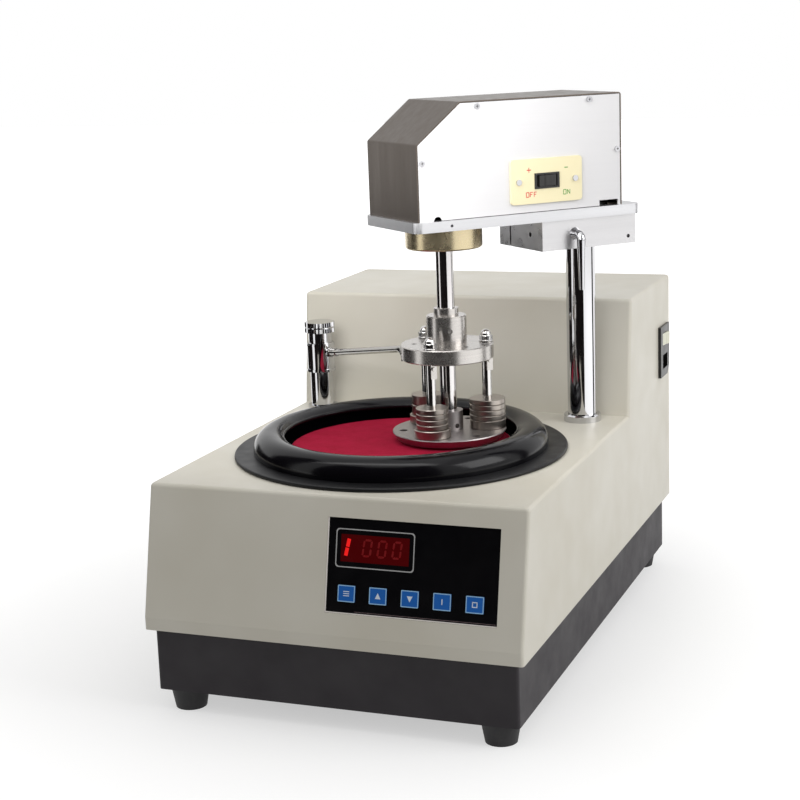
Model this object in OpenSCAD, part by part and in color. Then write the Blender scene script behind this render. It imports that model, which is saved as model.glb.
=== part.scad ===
// Bench machine for polishing metal specimens, with a swinging specimen head.
// Origin on the floor under the middle of the cabinet, Z up, front towards -Y.

/* [Cabinet] */
// Width of the cabinet
body_w = 390; // [384:1:410]
// Depth of the cabinet
body_d = 616; // [610:1:640]
// Height of the deck above the floor
deck_h = 228; // [224:1:236]
// Height of the painted cover below the deck
cover_h = 142; // [138:1:144]
// How far the control face leans back over its height
front_lean = 30; // [24:1:36]
// Height of the upright lip under the control face
front_lip = 12.5; // [9:0.5:16]
// Sheet thickness of the painted cover
sheet_t = 1.5; // [1:0.1:2]
// Outer radius of the folded edges
edge_r = 3.5; // [2.5:0.5:6]
// Width of the cover's turned-in bottom edge
return_w = 14; // [11:1:18]
// Set-back of the dark base under the cover
base_inset = 7.5; // [5:0.5:10]
// Wall of the dark base
base_t = 2; // [1.5:0.1:3]
// Height of the rear housing above the deck
tower_h = 128; // [120:1:136]
// Depth of the rear housing at deck level
tower_d = 207.5; // [205:0.5:209]
// How far the rear housing's front leans back
tower_lean = 16.5; // [10:0.5:22]

/* [Feet] */
// Height of the rubber feet
foot_h = 22; // [20:1:26]
// Radius of a foot at its top
foot_top_r = 19.5; // [17:0.5:22]
// Radius of a foot on the floor
foot_floor_r = 15.5; // [13:0.5:16]
// Foot centre in from the cabinet's side
foot_side = 32; // [30:1:44]
// Foot centre in from the cabinet's front and rear
foot_end = 28; // [28:1:44]

/* [Basin and ring] */
// Centre of the bowl behind the cabinet's front
bowl_from_front = 214.5; // [212:0.5:218]
// Inner radius of the basin wall
basin_r = 149.6; // [148:0.1:151]
// Wall of the basin
basin_t = 2.4; // [2:0.1:3]
// Radius of the black flange on the deck
flange_r = 173; // [168:1:176]
// Thickness of the black flange
flange_t = 4; // [3:0.5:5]
// Depth of the basin below the deck
basin_drop = 38; // [37:1:40]
// Section radius of the raised ring
ring_round = 18.6; // [18.2:0.1:19]
// Wall of the raised ring
ring_wall = 3; // [2.5:0.1:3.2]
// Height of the raised ring's crest above the deck
ring_h = 26; // [25.6:0.1:27]
// Inner radius of the raised ring's lip
ring_mouth_r = 122; // [120.5:0.5:123]

/* [Platen and drive] */
// Radius of the platen
platen_r = 115; // [110:1:116]
// Thickness of the platen disc
platen_t = 10; // [8:0.5:11]
// Height of the cloth's top above the deck
cloth_h = 7; // [6:0.5:7.5]
// Thickness of the cloth
cloth_t = 1; // [0.8:0.1:1.5]
// Radius of the spindle in its bearings
journal_r = 10; // [9:0.5:11]
// Outer radius of a spindle bearing
bearing_r = 23.5; // [22:0.5:25]
// Width of a spindle bearing
bearing_w = 14; // [12:1:16]
// Radius of the large pulley
big_pulley_r = 60; // [54:1:64]
// Radius of the motor pulley
small_pulley_r = 30; // [26:1:34]
// Width of both pulleys
pulley_w = 22; // [18:1:24]
// Thickness of the drive belt
belt_t = 5; // [4:0.5:6]
// Radius of the drive motor
motor_r = 58; // [50:1:64]
// Height of the drive motor
motor_h = 150; // [130:1:160]

/* [Control panel] */
// Width of the control panel
panel_w = 171; // [168:1:176]
// Height of the control panel along the face
panel_h = 90; // [88:1:94]
// Middle of the panel right of the cabinet's middle
panel_x = 83; // [78:1:88]
// Middle of the panel up the face
panel_up = 67; // [64:1:68]
// Width of a key
key_w = 17.4; // [15:0.1:19]
// Height of a key
key_h = 15.8; // [14:0.1:17]
// Spacing of the keys
key_pitch = 31.9; // [30:0.1:33]
// Travel of a key
key_travel = 0.5; // [0.3:0.1:0.8]

/* [Column] */
// Radius of the column
column_r = 16; // [15:0.5:17]
// Height of the column above the deck
column_h = 300; // [285:1:305]
// Column centre right of the cabinet's middle
column_x = 149; // [146:1:150]
// Column centre behind the cabinet's front
column_from_front = 384; // [380:1:386]
// Width of the ring round the column's foot
collar_w = 4.5; // [3:0.5:5]
// Height of the ring round the column's foot
collar_h = 8; // [6:1:12]

/* [Tap] */
// Tap centre left of the cabinet's middle
tap_x = 163; // [160:1:166]
// Tap centre behind the cabinet's front
tap_from_front = 388; // [384:1:389]
// Height of the fixed pillar
pillar_h = 43; // [40:1:46]
// Radius of the fixed pillar
pillar_r = 13; // [12:0.5:14]
// Radius of the valve body
valve_r = 15.8; // [15:0.1:17]
// Height of the valve body
valve_h = 33; // [31:1:36]
// Radius of the knurled handle
knob_r = 17.3; // [16:0.1:19]
// Height of the knurled handle
knob_h = 12; // [10:1:14]
// Outer radius of the water tube
tube_r = 3.8; // [3:0.1:4.2]
// Wall of the water tube
tube_wall = 1; // [0.8:0.1:1.2]
// Length of the straight water tube from the tap's axis
tube_reach = 152; // [140:1:156]
// Upward slope of the water tube
tube_rise_a = 9; // [7:0.5:10]

/* [Head] */
// Height of the head plate's underside above the deck
head_z = 231; // [228:1:236]
// Spindle centre in front of the column along the head
arm_reach = 175; // [173:1:178]
// Sideways offset of the column in the head
arm_offset = 16; // [14:0.5:18]
// Turn of the head about the column's axis
head_yaw = 48; // [46:1:49]
// Length of the head plate
plate_l = 264.5; // [262:0.5:270]
// Width of the head plate
plate_w = 114; // [112:1:122]
// Thickness of the head plate
plate_t = 10.5; // [9:0.5:12]
// Length of the head cover
cover_l = 238.5; // [236:0.5:240]
// Width of the head cover
cover_w = 107; // [104:1:110]
// Height of the head cover
hood_h = 115; // [112:0.5:120]
// Height of the head cover's upright front
hood_front = 75.5; // [68:0.5:78]
// Length of the head cover's sloping front
hood_slope = 49.5; // [40:0.5:52]
// Sheet thickness of the head cover
hood_t = 1.5; // [1:0.1:2]
// Height of the clamp block
block_h = 31.5; // [28:0.5:34]
// Length of the clamp block
block_l = 114; // [110:1:118]
// Radius of the brass bearing flange
brass_r = 39.5; // [38:0.5:42]
// Height of the brass bearing flange
brass_h = 23; // [20:1:26]

/* [Specimen holder] */
// Height of the holder plate's underside above the cloth
holder_gap = 2.2; // [1.5:0.1:2.5]
// Radius of the holder plate
holder_r = 59.4; // [59:0.1:60]
// Thickness of the holder plate
holder_t = 8.5; // [7:0.5:9]
// Radius of the carrier flange
carrier_r = 48.2; // [47:0.1:49]
// Thickness of the carrier flange
carrier_t = 15.5; // [13:0.5:17]
// Height of the carrier flange's underside above the deck
carrier_z = 93.1; // [91:0.1:96]
// Radius of the spindle above the hub
spindle_r = 9.2; // [8.5:0.1:10]
// Radius of the shaft between flange and holder
shaft_r = 8.6; // [8:0.1:9]
// Radius of the hub on the flange
hub_r = 20.8; // [19:0.1:22]
// Height of the hub on the flange
hub_h = 29.4; // [26:0.1:32]
// Pitch radius of the plungers
plunger_pitch = 40.4; // [40:0.1:41]
// Radius of a plunger rod
rod_r = 5; // [4.5:0.1:5.5]
// Turn of the plungers about the spindle
plunger_turn = -96; // [-100:1:-90]

/* [Hidden] */
$fn = 72;

// Clearances and cutting overrun
gap = 0.3;
fit = 0.05;
cut = 1;
slab_t = 0.1;
edge_steps = 4;

// Cabinet places
front_y = -body_d / 2;
rear_y = body_d / 2;
cover_z = deck_h - cover_h;
top_z = deck_h + tower_h;
tower_y = rear_y - tower_d;
face_h = cover_h - front_lip;
face_a = atan(front_lean / face_h);
tower_a = atan(tower_lean / tower_h);
face_wall = sheet_t / cos(face_a);
tower_wall = sheet_t / cos(tower_a);
bowl_y = front_y + bowl_from_front;
column_y = front_y + column_from_front;
tap_y = front_y + tap_from_front;

// Screws of the cabinet
screw_r = 2.5;
screw_head_r = 4.6;
screw_head_h = 3;
screw_l = 14;
screw_hole = 0.25;
foot_recess_r = 7;
foot_recess = 11;

// Basin and ring places
basin_outer = basin_r + basin_t;
basin_z = deck_h - basin_drop;
throat_r = 34;
throat_h = 14;
ring_step = 1.2;
ring_mid_r = basin_outer + ring_step - ring_round;
ring_mid_z = deck_h + ring_h - ring_round;
ring_bead = 2.1;
skirt_t = 2.6;
skirt_drop = 7;
drain_bore = 8;
drain_wall = 2.5;
drain_x = -95;
drain_y = bowl_y + 62;
drain_drop = 18;
supply_bore = 5.5;
supply_wall = 3.5;
tail_nut = 4;
hose_tail = 15;
tail_wall = 1.7;
tail_lap = 6;
supply_drop = 42;

// Platen and drive places
cloth_z = deck_h + cloth_h;
platen_top = cloth_z - cloth_t;
platen_z = platen_top - platen_t;
cloth_set_in = 0.5;
platen_rim_t = 4;
platen_rim_drop = 5;
hub_base_z = basin_z + throat_h + 2 * cut;
platen_hub_r = 28;
slinger_r = throat_r + basin_t + 4;
slinger_t = 3;
slinger_drop = 24;
nose_r = 8;
nose_h = 10;
spindle_flange_r = 20;
spindle_flange_t = 5;
housing_wall = 7.5;
housing_r = bearing_r + housing_wall;
housing_top = basin_z + 8;
housing_flange_r = 52;
housing_flange_t = 9;
chassis_t = 5;
chassis_z = basin_z - 68;
chassis_w = 300;
chassis_front = 75;
chassis_back = 48;
bearing_lip = 2;
pulley_z = chassis_z - pulley_w - 12;
groove_d = 3;
groove_count = 4;
motor_shift = 8.75;
motor_y = (bowl_y + basin_outer + rear_y) / 2 + motor_shift;
motor_cap_h = 24;
motor_foot_t = 8;
fin_count = 24;
fin_d = 3;
fin_w = 4;
belt_gap = 0.5;

// Control panel places
panel_t = 3;
panel_sunk = 1;
panel_lap = 6;
display_x = -37.5;
display_up = 17;
display_w = 79;
display_h = 37;
window_w = 69;
window_h = 26;
key_row = -26;
key_proud = 0.7;
key_stem = 8;
key_stem_r = 3;
board_t = 1.6;
board_gap = 0.9;
board_w = 164;
board_h = 66;
board_z = -panel_sunk - panel_t - key_stem - board_gap - board_t;
digit_w = 60;
digit_h = 20;

// Power inlet places
inlet_w = 44;
inlet_h = 60;
inlet_t = 3.5;
inlet_cut = 10;
inlet_from_rear = 39;
inlet_z = deck_h + 43;
inlet_body_w = 36;
inlet_body_h = 52;
inlet_body_d = 30;
socket_w = 24;
socket_h = 16.5;
socket_d = 16;
socket_down = -12.5;
pin_w = 2;
pin_h = 4;
pin_l = 12;
pin_step = 7;
pin_up = 3.5;
rocker_w = 24;
rocker_h = 14;
rocker_d = 10;
rocker_up = 14;
rocker_tilt = 10;
rocker_r = 13;
rocker_pin_r = 1.2;

// Column and tap places
stud_r = 12;
stud_l = 36;
base_plate_w = 78;
base_plate_d = 88;
base_plate_t = 12;
nut_r = 19;
nut_h = 12;
column_chamfer = 1.5;
bush_wall = 3;
bush_flange_w = 5;
bush_flange_t = 3;
tail_r = 10;
tail_l = 30;
tap_nut_r = 15;
tap_nut_h = 9;
pillar_foot_w = 4;
pillar_foot_t = 3.5;
spigot_r = 7;
spigot_h = 12;
valve_ring_w = 0.9;
valve_ring_h = 3;
bonnet_r = 13.4;
bonnet_h = 12;
stem_r = 4;
stem_h = 8;
knob_teeth = 36;
knob_tooth = 1;
knob_groove = 1.4;
knob_groove_d = 2.2;
outlet_turn = -32;
outlet_up = 20;
outlet_nut_r = 5.6;
outlet_nut_l = 7;
sleeve_r = 4.7;
sleeve_l = 7;
tube_bend = 9;
tube_drop = 4;
tube_y_turn = 90;

// Head places
head_x0 = column_x - arm_reach * cos(head_yaw) + arm_offset * sin(head_yaw);
head_y0 = column_y - arm_reach * sin(head_yaw) - arm_offset * cos(head_yaw);
plate_z = deck_h + head_z;
plate_top = plate_z + plate_t;
plate_back = 28.5;
hood_inset = 21.5;
plate_rear = arm_reach + plate_back;
plate_front = plate_rear - plate_l;
plate_corner = 8;
hood_rear = plate_rear - hood_inset;
hood_x0 = hood_rear - cover_l;
hood_slope_x = hood_x0 + hood_slope;
hood_top = plate_top + hood_h;
hood_bend = 3;
hood_foot = 10;
block_rear = plate_rear - 1;
block_near = -48;
block_wall = 3;
block_far = arm_offset + column_r + bush_wall + block_wall;
block_slot = 2.5;
block_hole_r = 2.5;
block_screw_up = 7.5;
lever_back = 47;
lever_down = 16;
lever_hub_r = 6.5;
lever_neck_r = 4.6;
lever_out = 11;
lever_bend = 6;
lever_shank_r = 4;
lever_rod_r = 2.8;
lever_rod_l = 57;
bolt_head_r = 4;
bolt_in = 9;
hood_screw_r = 1.5;
hood_screw_head_r = 3;
hood_screw_head_h = 1.8;
hood_screw_l = 8;
hood_screw_in = 5.5;
switch_x = 90;
switch_z = plate_top + 31.5;
switch_w = 84;
switch_h = 45;
switch_t = 2.5;
switch_screw = 33.3;
switch_body_w = 26;
switch_body_h = 14;
switch_body_d = 18;
switch_rim = 1;
head_rocker_w = 29;
head_rocker_h = 15.6;
head_rocker_tilt = 8;
head_rocker_r = 18;
gear_w = 80;
gear_h = 34;
geared_r = 31;
geared_h = 58;
brass_edge = 1.5;
slot_w = 23;
slot_h = 6;
notch_r = 4.5;

// Specimen holder places
carrier_bottom = deck_h + carrier_z;
carrier_top = carrier_bottom + carrier_t;
carrier_edge = 1;
holder_z = cloth_z + holder_gap;
holder_top = holder_z + holder_t;
holder_bevel = 5;
boss_r = 14.6;
boss_h = 20;
seat_r = 13;
spare_hole_r = 4.2;
spare_pitch = 48;
step_a = 360 / 3;
collar_r = 12.8;
hub_collar_h = 7.4;
hub_top = carrier_top + hub_h;
set_screw_r = 2.5;
set_screw_l = 2;
nut_af_r = 7.4;
nut_flat_h = 7;
nut_dome_r = 5.6;
nut_sides = 6;
clip_w = 6.5;
clip_h = 14;
clip_t = 3;
clip_head_r = 2.4;
clip_head_h = 2.2;
clip_turn = -45;
hub_screw_pitch = 34;
hub_screw_r = 2.6;
hub_screw_h = 3;
foot_ring_r = 18.8;
foot_ring_h = 9;
tip_r = 6;
tip_l = 1.5;
weight_gap = 0.4;
weight_stack_h = 22;
weight_small_r = 16.4;
weight_large_r = 18.8;
weight_edge = 0.5;

// Points on an arc, from angle a0 to a1
function arc_points(cx, cy, r, a0, a1, n) =
  [for (i = [0 : n]) [cx + r * cos(a0 + (a1 - a0) * i / n), cy + r * sin(a0 + (a1 - a0) * i / n)]];

// Outline of a rectangle with round corners
function round_rect(x0, y0, x1, y1, r, n) = concat(
  arc_points(x1 - r, y1 - r, r, 0, 90, n),
  arc_points(x0 + r, y1 - r, r, 90, 180, n),
  arc_points(x0 + r, y0 + r, r, 180, 270, n),
  arc_points(x1 - r, y0 + r, r, 270, 360, n));

// Outline of a belt round two pulleys on the Y axis, the larger at y0
function belt_outline(y0, r0, y1, r1, n) =
  let (lean = asin((r0 - r1) / (y1 - y0)))
  concat(arc_points(0, y1, r1, lean, 180 - lean, n), arc_points(0, y0, r0, 180 - lean, 360 + lean, 2 * n));

// Extrudes a side view (Y, Z) across the width
module across(w) {
  translate([-w / 2, 0, 0])
    rotate([90, 0, 90])
      linear_extrude(height = w)
        children();
}

// Extrudes a view (X, Z) along Y, from y0 by d
module along_y(y0, d) {
  translate([0, y0 + d, 0])
    rotate([90, 0, 0])
      linear_extrude(height = d)
        children();
}

// Lays a thing on the sloping control face: X across, Y up the face, Z out of it
module on_face() {
  translate([0, front_y, cover_z + front_lip])
    rotate([90 - face_a, 0, 0])
      children();
}

// Lays a thing on the right side: X to the rear, Y up, Z outwards
module on_side() {
  translate([body_w / 2, rear_y - inlet_from_rear, inlet_z])
    rotate([90, 0, 90])
      children();
}

// Places a thing in the head's frame: X along the head to the rear, origin on the spindle
module in_head() {
  translate([head_x0, head_y0, 0])
    rotate([0, 0, head_yaw])
      children();
}

// Places a thing on the near side of the head cover: X to the rear, Y up, Z outwards
module on_near() {
  translate([0, -cover_w / 2, 0])
    rotate([90, 0, 0])
      children();
}

// A thin slice of the painted cover, for blending its edges
module plan_slab(y0, y1, z, inset) {
  translate([0, 0, z])
    linear_extrude(height = slab_t)
      polygon(round_rect(inset - body_w / 2, y0 + inset, body_w / 2 - inset, y1 - inset,
        edge_r, edge_steps));
}

// Rounds the top of a block that ends at height z, with its front at y0
module soft_top(y0, z, lean_rate) {
  for (k = [0 : edge_steps]) {
    rise = edge_r * sin(90 * k / edge_steps);
    plan_slab(y0 - lean_rate * (edge_r - rise), rear_y, z - edge_r + rise - slab_t,
      edge_r - edge_r * cos(90 * k / edge_steps));
  }
}

module front_block() {
  hull() {
    plan_slab(front_y, rear_y, cover_z, 0);
    plan_slab(front_y, rear_y, cover_z + front_lip, 0);
    soft_top(front_y + front_lean, deck_h, front_lean / face_h);
  }
}

module tower_block() {
  hull() {
    plan_slab(tower_y, rear_y, deck_h - edge_r - slab_t, 0);
    soft_top(tower_y + tower_lean, top_z, tower_lean / tower_h);
  }
}

module cover_inside() {
  across(body_w - 2 * sheet_t)
    polygon([
      [front_y + face_wall, cover_z + sheet_t],
      [front_y + face_wall, cover_z + front_lip],
      [front_y + face_wall + front_lean - sheet_t * tan(face_a), deck_h - sheet_t],
      [tower_y + tower_wall, deck_h - sheet_t],
      [tower_y + tower_wall + tower_lean - sheet_t * tan(tower_a), top_z - sheet_t],
      [rear_y - sheet_t, top_z - sheet_t],
      [rear_y - sheet_t, cover_z + sheet_t]]);
}

// Rear access panel's size and screw places
panel_back_w = 300;
panel_back_h = 116;
panel_back_down = 78;
panel_back_z = top_z - panel_back_down;
panel_back_lap = 12;
panel_back_screws = [-1, 0, 1];
louvre_w = 60;
louvre_h = 3;
louvre_step = 9;
louvre_count = 7;

module rear_screw_places() {
  for (sx = panel_back_screws) {
    for (sz = [-1, 1]) {
      translate([sx * (panel_back_w - panel_back_lap) / 2, 0,
        panel_back_z + sz * (panel_back_h - panel_back_lap) / 2])
        children();
    }
  }
}

module top_cover() {
  color([0.86, 0.84, 0.78])
    difference() {
      union() {
        front_block();
        tower_block();
      }
      cover_inside();
      translate([return_w - body_w / 2, front_y + return_w, cover_z - cut])
        cube([body_w - 2 * return_w, body_d - 2 * return_w, sheet_t + 2 * cut]);
      translate([0, bowl_y, deck_h - sheet_t - cut])
        cylinder(r = basin_outer + gap, h = sheet_t + 2 * cut, $fn = 120);
      translate([column_x, column_y, deck_h - sheet_t - cut])
        cylinder(r = stud_r + gap, h = sheet_t + 2 * cut);
      translate([-tap_x, tap_y, deck_h - sheet_t - cut])
        cylinder(r = tail_r + gap, h = sheet_t + 2 * cut);
      on_face()
        translate([panel_x - panel_w / 2 - gap, panel_up - panel_h / 2 - gap, -2 * cut - sheet_t])
          cube([panel_w + 2 * gap, panel_h + 2 * gap, sheet_t + 3 * cut]);
      on_side()
        translate([-inlet_body_w / 2 - gap, -inlet_body_h / 2 - gap, -sheet_t - cut])
          cube([inlet_body_w + 2 * gap, inlet_body_h + 2 * gap, sheet_t + 2 * cut]);
      translate([-panel_back_w / 2 + panel_back_lap, rear_y - sheet_t - cut,
        panel_back_z - panel_back_h / 2 + panel_back_lap])
        cube([panel_back_w - 2 * panel_back_lap, sheet_t + 2 * cut,
          panel_back_h - 2 * panel_back_lap]);
      rear_screw_places()
        translate([0, rear_y + cut, 0])
          rotate([90, 0, 0])
            cylinder(r = screw_r + screw_hole, h = sheet_t + 2 * cut);
      translate([drain_x, rear_y + cut, basin_z - drain_drop])
        rotate([90, 0, 0])
          cylinder(r = drain_bore + drain_wall + gap, h = sheet_t + 2 * cut);
      translate([-tap_x, rear_y + cut, deck_h - supply_drop])
        rotate([90, 0, 0])
          cylinder(r = supply_bore + supply_wall + gap, h = sheet_t + 2 * cut);
    }
}

module rear_panel() {
  color([0.84, 0.82, 0.76])
    difference() {
      along_y(rear_y, sheet_t)
        difference() {
          polygon(round_rect(-panel_back_w / 2, panel_back_z - panel_back_h / 2,
            panel_back_w / 2, panel_back_z + panel_back_h / 2, edge_r, edge_steps));
          for (sx = [-1, 1]) {
            for (k = [0 : louvre_count - 1]) {
              translate([sx * louvre_w - louvre_w / 2,
                panel_back_z + (k - (louvre_count - 1) / 2) * louvre_step - louvre_h / 2])
                square([louvre_w, louvre_h]);
            }
          }
        }
      rear_screw_places()
        translate([0, rear_y + sheet_t + cut, 0])
          rotate([90, 0, 0])
            cylinder(r = screw_r + screw_hole, h = sheet_t + 2 * cut);
    }
}

module base_tray() {
  tray_w = body_w - 2 * base_inset;
  tray_d = body_d - 2 * base_inset;
  color([0.2, 0.17, 0.2])
    difference() {
      translate([0, 0, foot_h])
        linear_extrude(height = cover_z - foot_h)
          polygon(round_rect(-tray_w / 2, -tray_d / 2, tray_w / 2, tray_d / 2,
            edge_r, edge_steps));
      translate([base_t - tray_w / 2, base_t - tray_d / 2, foot_h + base_t])
        cube([tray_w - 2 * base_t, tray_d - 2 * base_t, cover_z - foot_h - 2 * base_t]);
      translate([return_w - tray_w / 2, return_w - tray_d / 2, cover_z - base_t - cut])
        cube([tray_w - 2 * return_w, tray_d - 2 * return_w, base_t + 2 * cut]);
      foot_places()
        cylinder(r = screw_r + screw_hole, h = foot_h + base_t + cut);
    }
}

module foot_places() {
  for (sx = [-1, 1]) {
    for (sy = [-1, 1]) {
      translate([sx * (body_w / 2 - foot_side), sy * (body_d / 2 - foot_end), 0])
        children();
    }
  }
}

module rubber_feet() {
  color([0.12, 0.12, 0.13])
    foot_places()
      difference() {
        cylinder(r1 = foot_floor_r, r2 = foot_top_r, h = foot_h);
        translate([0, 0, -cut])
          cylinder(r = foot_recess_r, h = foot_recess + cut);
        translate([0, 0, foot_recess - cut])
          cylinder(r = screw_r + screw_hole, h = foot_h - foot_recess + 2 * cut);
      }
}

// A pan-head screw, its head's seat at z 0 and its shank towards +Z
module pan_screw() {
  rotate_extrude()
    difference() {
      union() {
        translate([0, -screw_head_h])
          square([screw_head_r, screw_head_h]);
        square([screw_r, screw_l]);
      }
      translate([0, -screw_head_h - cut])
        square([screw_r / 2, 2 * cut]);
    }
}

module case_screws() {
  color("silver") {
    foot_places()
      translate([0, 0, foot_recess])
        pan_screw();
    rear_screw_places()
      translate([0, rear_y + sheet_t, 0])
        rotate([90, 0, 0])
          pan_screw();
  }
}

module splash_basin() {
  color([0.05, 0.05, 0.06])
    difference() {
      translate([0, bowl_y, 0])
        rotate_extrude($fn = 120)
          union() {
            translate([basin_r, deck_h])
              square([flange_r - flange_t / 2 - basin_r, flange_t]);
            intersection() {
              translate([flange_r - flange_t / 2, deck_h + flange_t / 2])
                circle(r = flange_t / 2);
              translate([flange_r - flange_t, deck_h])
                square([flange_t, flange_t]);
            }
            translate([basin_r, basin_z])
              square([basin_t, basin_drop + flange_t]);
            translate([throat_r, basin_z])
              square([basin_outer - throat_r, basin_t]);
            translate([throat_r, basin_z])
              square([basin_t, throat_h]);
          }
      translate([drain_x, drain_y, basin_z - cut])
        cylinder(r = drain_bore, h = basin_t + 2 * cut);
    }
}

// A pipe that drops from (x, y, top), turns to the rear and ends in a hose tail
module rear_pipe(x, y, drop, top_z, top_wall, bore, wall) {
  pipe_z = top_z - drop;
  difference() {
    union() {
      translate([x, y, pipe_z])
        cylinder(r = bore + top_wall, h = drop);
      translate([x, y, pipe_z])
        sphere(r = bore + wall);
      translate([x, rear_y + tail_nut, pipe_z])
        rotate([90, 0, 0])
          cylinder(r = bore + wall, h = rear_y + tail_nut - y);
      translate([x, rear_y + tail_nut + hose_tail, pipe_z])
        rotate([90, 0, 0])
          cylinder(r = bore + tail_wall, h = hose_tail + cut);
    }
    translate([x, y, pipe_z])
      cylinder(r = bore, h = drop + cut);
    translate([x, rear_y + tail_nut + hose_tail + cut, pipe_z])
      rotate([90, 0, 0])
        cylinder(r = bore, h = rear_y + tail_nut + hose_tail + cut - y);
  }
}

module drain_pipe() {
  color([0.75, 0.75, 0.72])
    rear_pipe(drain_x, drain_y, drain_drop, basin_z, drain_wall, drain_bore, drain_wall);
}

module supply_pipe() {
  color([0.72, 0.45, 0.3])
    rear_pipe(-tap_x, tap_y, supply_drop - tail_l + tail_lap, deck_h - tail_l + tail_lap,
      supply_wall / 2, supply_bore, supply_wall);
}

module splash_ring() {
  mid = [ring_mid_r, ring_mid_z];
  seat_z = deck_h + flange_t + gap;
  skirt_r = basin_r - gap;
  bead_z = ring_mid_z + sqrt(pow(ring_round - ring_wall / 2, 2) - pow(ring_mid_r - ring_mouth_r, 2));
  color([0.04, 0.04, 0.05])
    translate([0, bowl_y, 0])
      rotate_extrude($fn = 120)
        union() {
          intersection() {
            difference() {
              translate(mid)
                circle(r = ring_round);
              translate(mid)
                circle(r = ring_round - ring_wall);
            }
            translate([ring_mouth_r, seat_z])
              square([2 * ring_round, 2 * ring_round]);
          }
          intersection() {
            translate([skirt_r - skirt_t, deck_h - skirt_drop])
              square([skirt_t, skirt_drop + ring_h]);
            union() {
              translate(mid)
                circle(r = ring_round - ring_wall / 2);
              translate([skirt_r - skirt_t, deck_h - skirt_drop])
                square([skirt_t, skirt_drop + ring_mid_z - deck_h]);
            }
          }
          translate([ring_mouth_r, bead_z])
            circle(r = ring_bead);
        }
}

module platen() {
  color("silver")
    translate([0, bowl_y, 0])
      rotate_extrude($fn = 120)
        difference() {
          union() {
            translate([0, platen_z])
              square([platen_r, platen_t]);
            translate([platen_r - platen_rim_t, platen_z - platen_rim_drop])
              square([platen_rim_t, platen_rim_drop + cut]);
            translate([0, hub_base_z + fit])
              square([platen_hub_r, platen_z - hub_base_z]);
            translate([slinger_r, platen_z - slinger_drop])
              square([slinger_t, slinger_drop + cut]);
          }
          translate([0, hub_base_z])
            square([nose_r + fit, nose_h + fit]);
        }
}

module polishing_cloth() {
  color([0.6, 0.1, 0.2])
    translate([0, bowl_y, platen_top])
      cylinder(r = platen_r - cloth_set_in, h = cloth_t, $fn = 120);
}

module platen_spindle() {
  color([0.6, 0.6, 0.62])
    translate([0, bowl_y, 0])
      rotate_extrude()
        union() {
          translate([0, pulley_z])
            square([journal_r - fit, hub_base_z - pulley_z]);
          translate([0, hub_base_z - spindle_flange_t])
            square([spindle_flange_r, spindle_flange_t]);
          translate([0, hub_base_z - cut])
            square([nose_r, nose_h + cut]);
        }
}

module spindle_bearings() {
  color([0.7, 0.7, 0.72])
    for (z = [chassis_z + chassis_t + bearing_lip, housing_top - bearing_w - bearing_lip]) {
      translate([0, bowl_y, z])
        rotate_extrude()
          translate([journal_r, 0])
            square([bearing_r - fit - journal_r, bearing_w]);
    }
}

module bearing_housing() {
  housing_z = chassis_z + chassis_t;
  color([0.55, 0.56, 0.58])
    difference() {
      translate([0, bowl_y, housing_z])
        rotate_extrude()
          difference() {
            union() {
              square([housing_r, housing_top - housing_z]);
              square([housing_flange_r, housing_flange_t]);
            }
            translate([0, -cut])
              square([bearing_r - bearing_lip, housing_top - housing_z + 2 * cut]);
            translate([0, bearing_lip])
              square([bearing_r, bearing_w]);
            translate([0, housing_top - housing_z - bearing_w - bearing_lip])
              square([bearing_r, bearing_w]);
          }
      for (a = [45 : 90 : 315]) {
        translate([0, bowl_y, housing_z - cut])
          rotate([0, 0, a])
            translate([(housing_r + housing_flange_r) / 2, 0, 0])
              cylinder(r = screw_r + fit, h = housing_flange_t + 2 * cut);
      }
    }
}

module chassis_frame() {
  y0 = bowl_y - chassis_front;
  d = rear_y - chassis_back - y0;
  leg = chassis_z - foot_h - base_t;
  color([0.45, 0.46, 0.5])
    difference() {
      translate([0, 0, foot_h + base_t])
        along_y(y0, d)
          difference() {
            translate([-chassis_w / 2, 0])
              square([chassis_w, leg + chassis_t]);
            translate([chassis_t - chassis_w / 2, -cut])
              square([chassis_w - 2 * chassis_t, leg + cut]);
          }
      translate([0, bowl_y, chassis_z - cut])
        cylinder(r = bearing_r - bearing_lip, h = chassis_t + 2 * cut);
      translate([0, motor_y, chassis_z - cut])
        cylinder(r = bearing_r, h = chassis_t + 2 * cut);
      for (sy = [0.22, 0.62]) {
        translate([-chassis_w / 2 - cut, y0 + sy * d, foot_h + base_t + leg * 0.35])
          cube([chassis_w + 2 * cut, d * 0.2, leg * 0.4]);
      }
    }
}

// Section of a grooved pulley's rim
module pulley_section(r) {
  pitch = pulley_w / groove_count;
  difference() {
    square([r, pulley_w]);
    for (k = [0 : groove_count - 1]) {
      translate([r, (k + 0.5) * pitch])
        polygon([[0, -0.35 * pitch], [-groove_d, 0], [0, 0.35 * pitch]]);
    }
  }
}

module driven_pulley() {
  web_t = pulley_w / 3;
  color([0.5, 0.5, 0.52])
    translate([0, bowl_y, pulley_z])
      difference() {
        rotate_extrude()
          difference() {
            pulley_section(big_pulley_r);
            translate([2 * journal_r, web_t])
              square([big_pulley_r - 2 * journal_r - 3 * groove_d, pulley_w]);
            translate([0, -cut])
              square([journal_r, pulley_w + 2 * cut]);
          }
        for (a = [0 : 60 : 300]) {
          rotate([0, 0, a])
            translate([big_pulley_r * 0.58, 0, -cut])
              cylinder(r = big_pulley_r * 0.12, h = web_t + 2 * cut);
        }
      }
}

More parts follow.
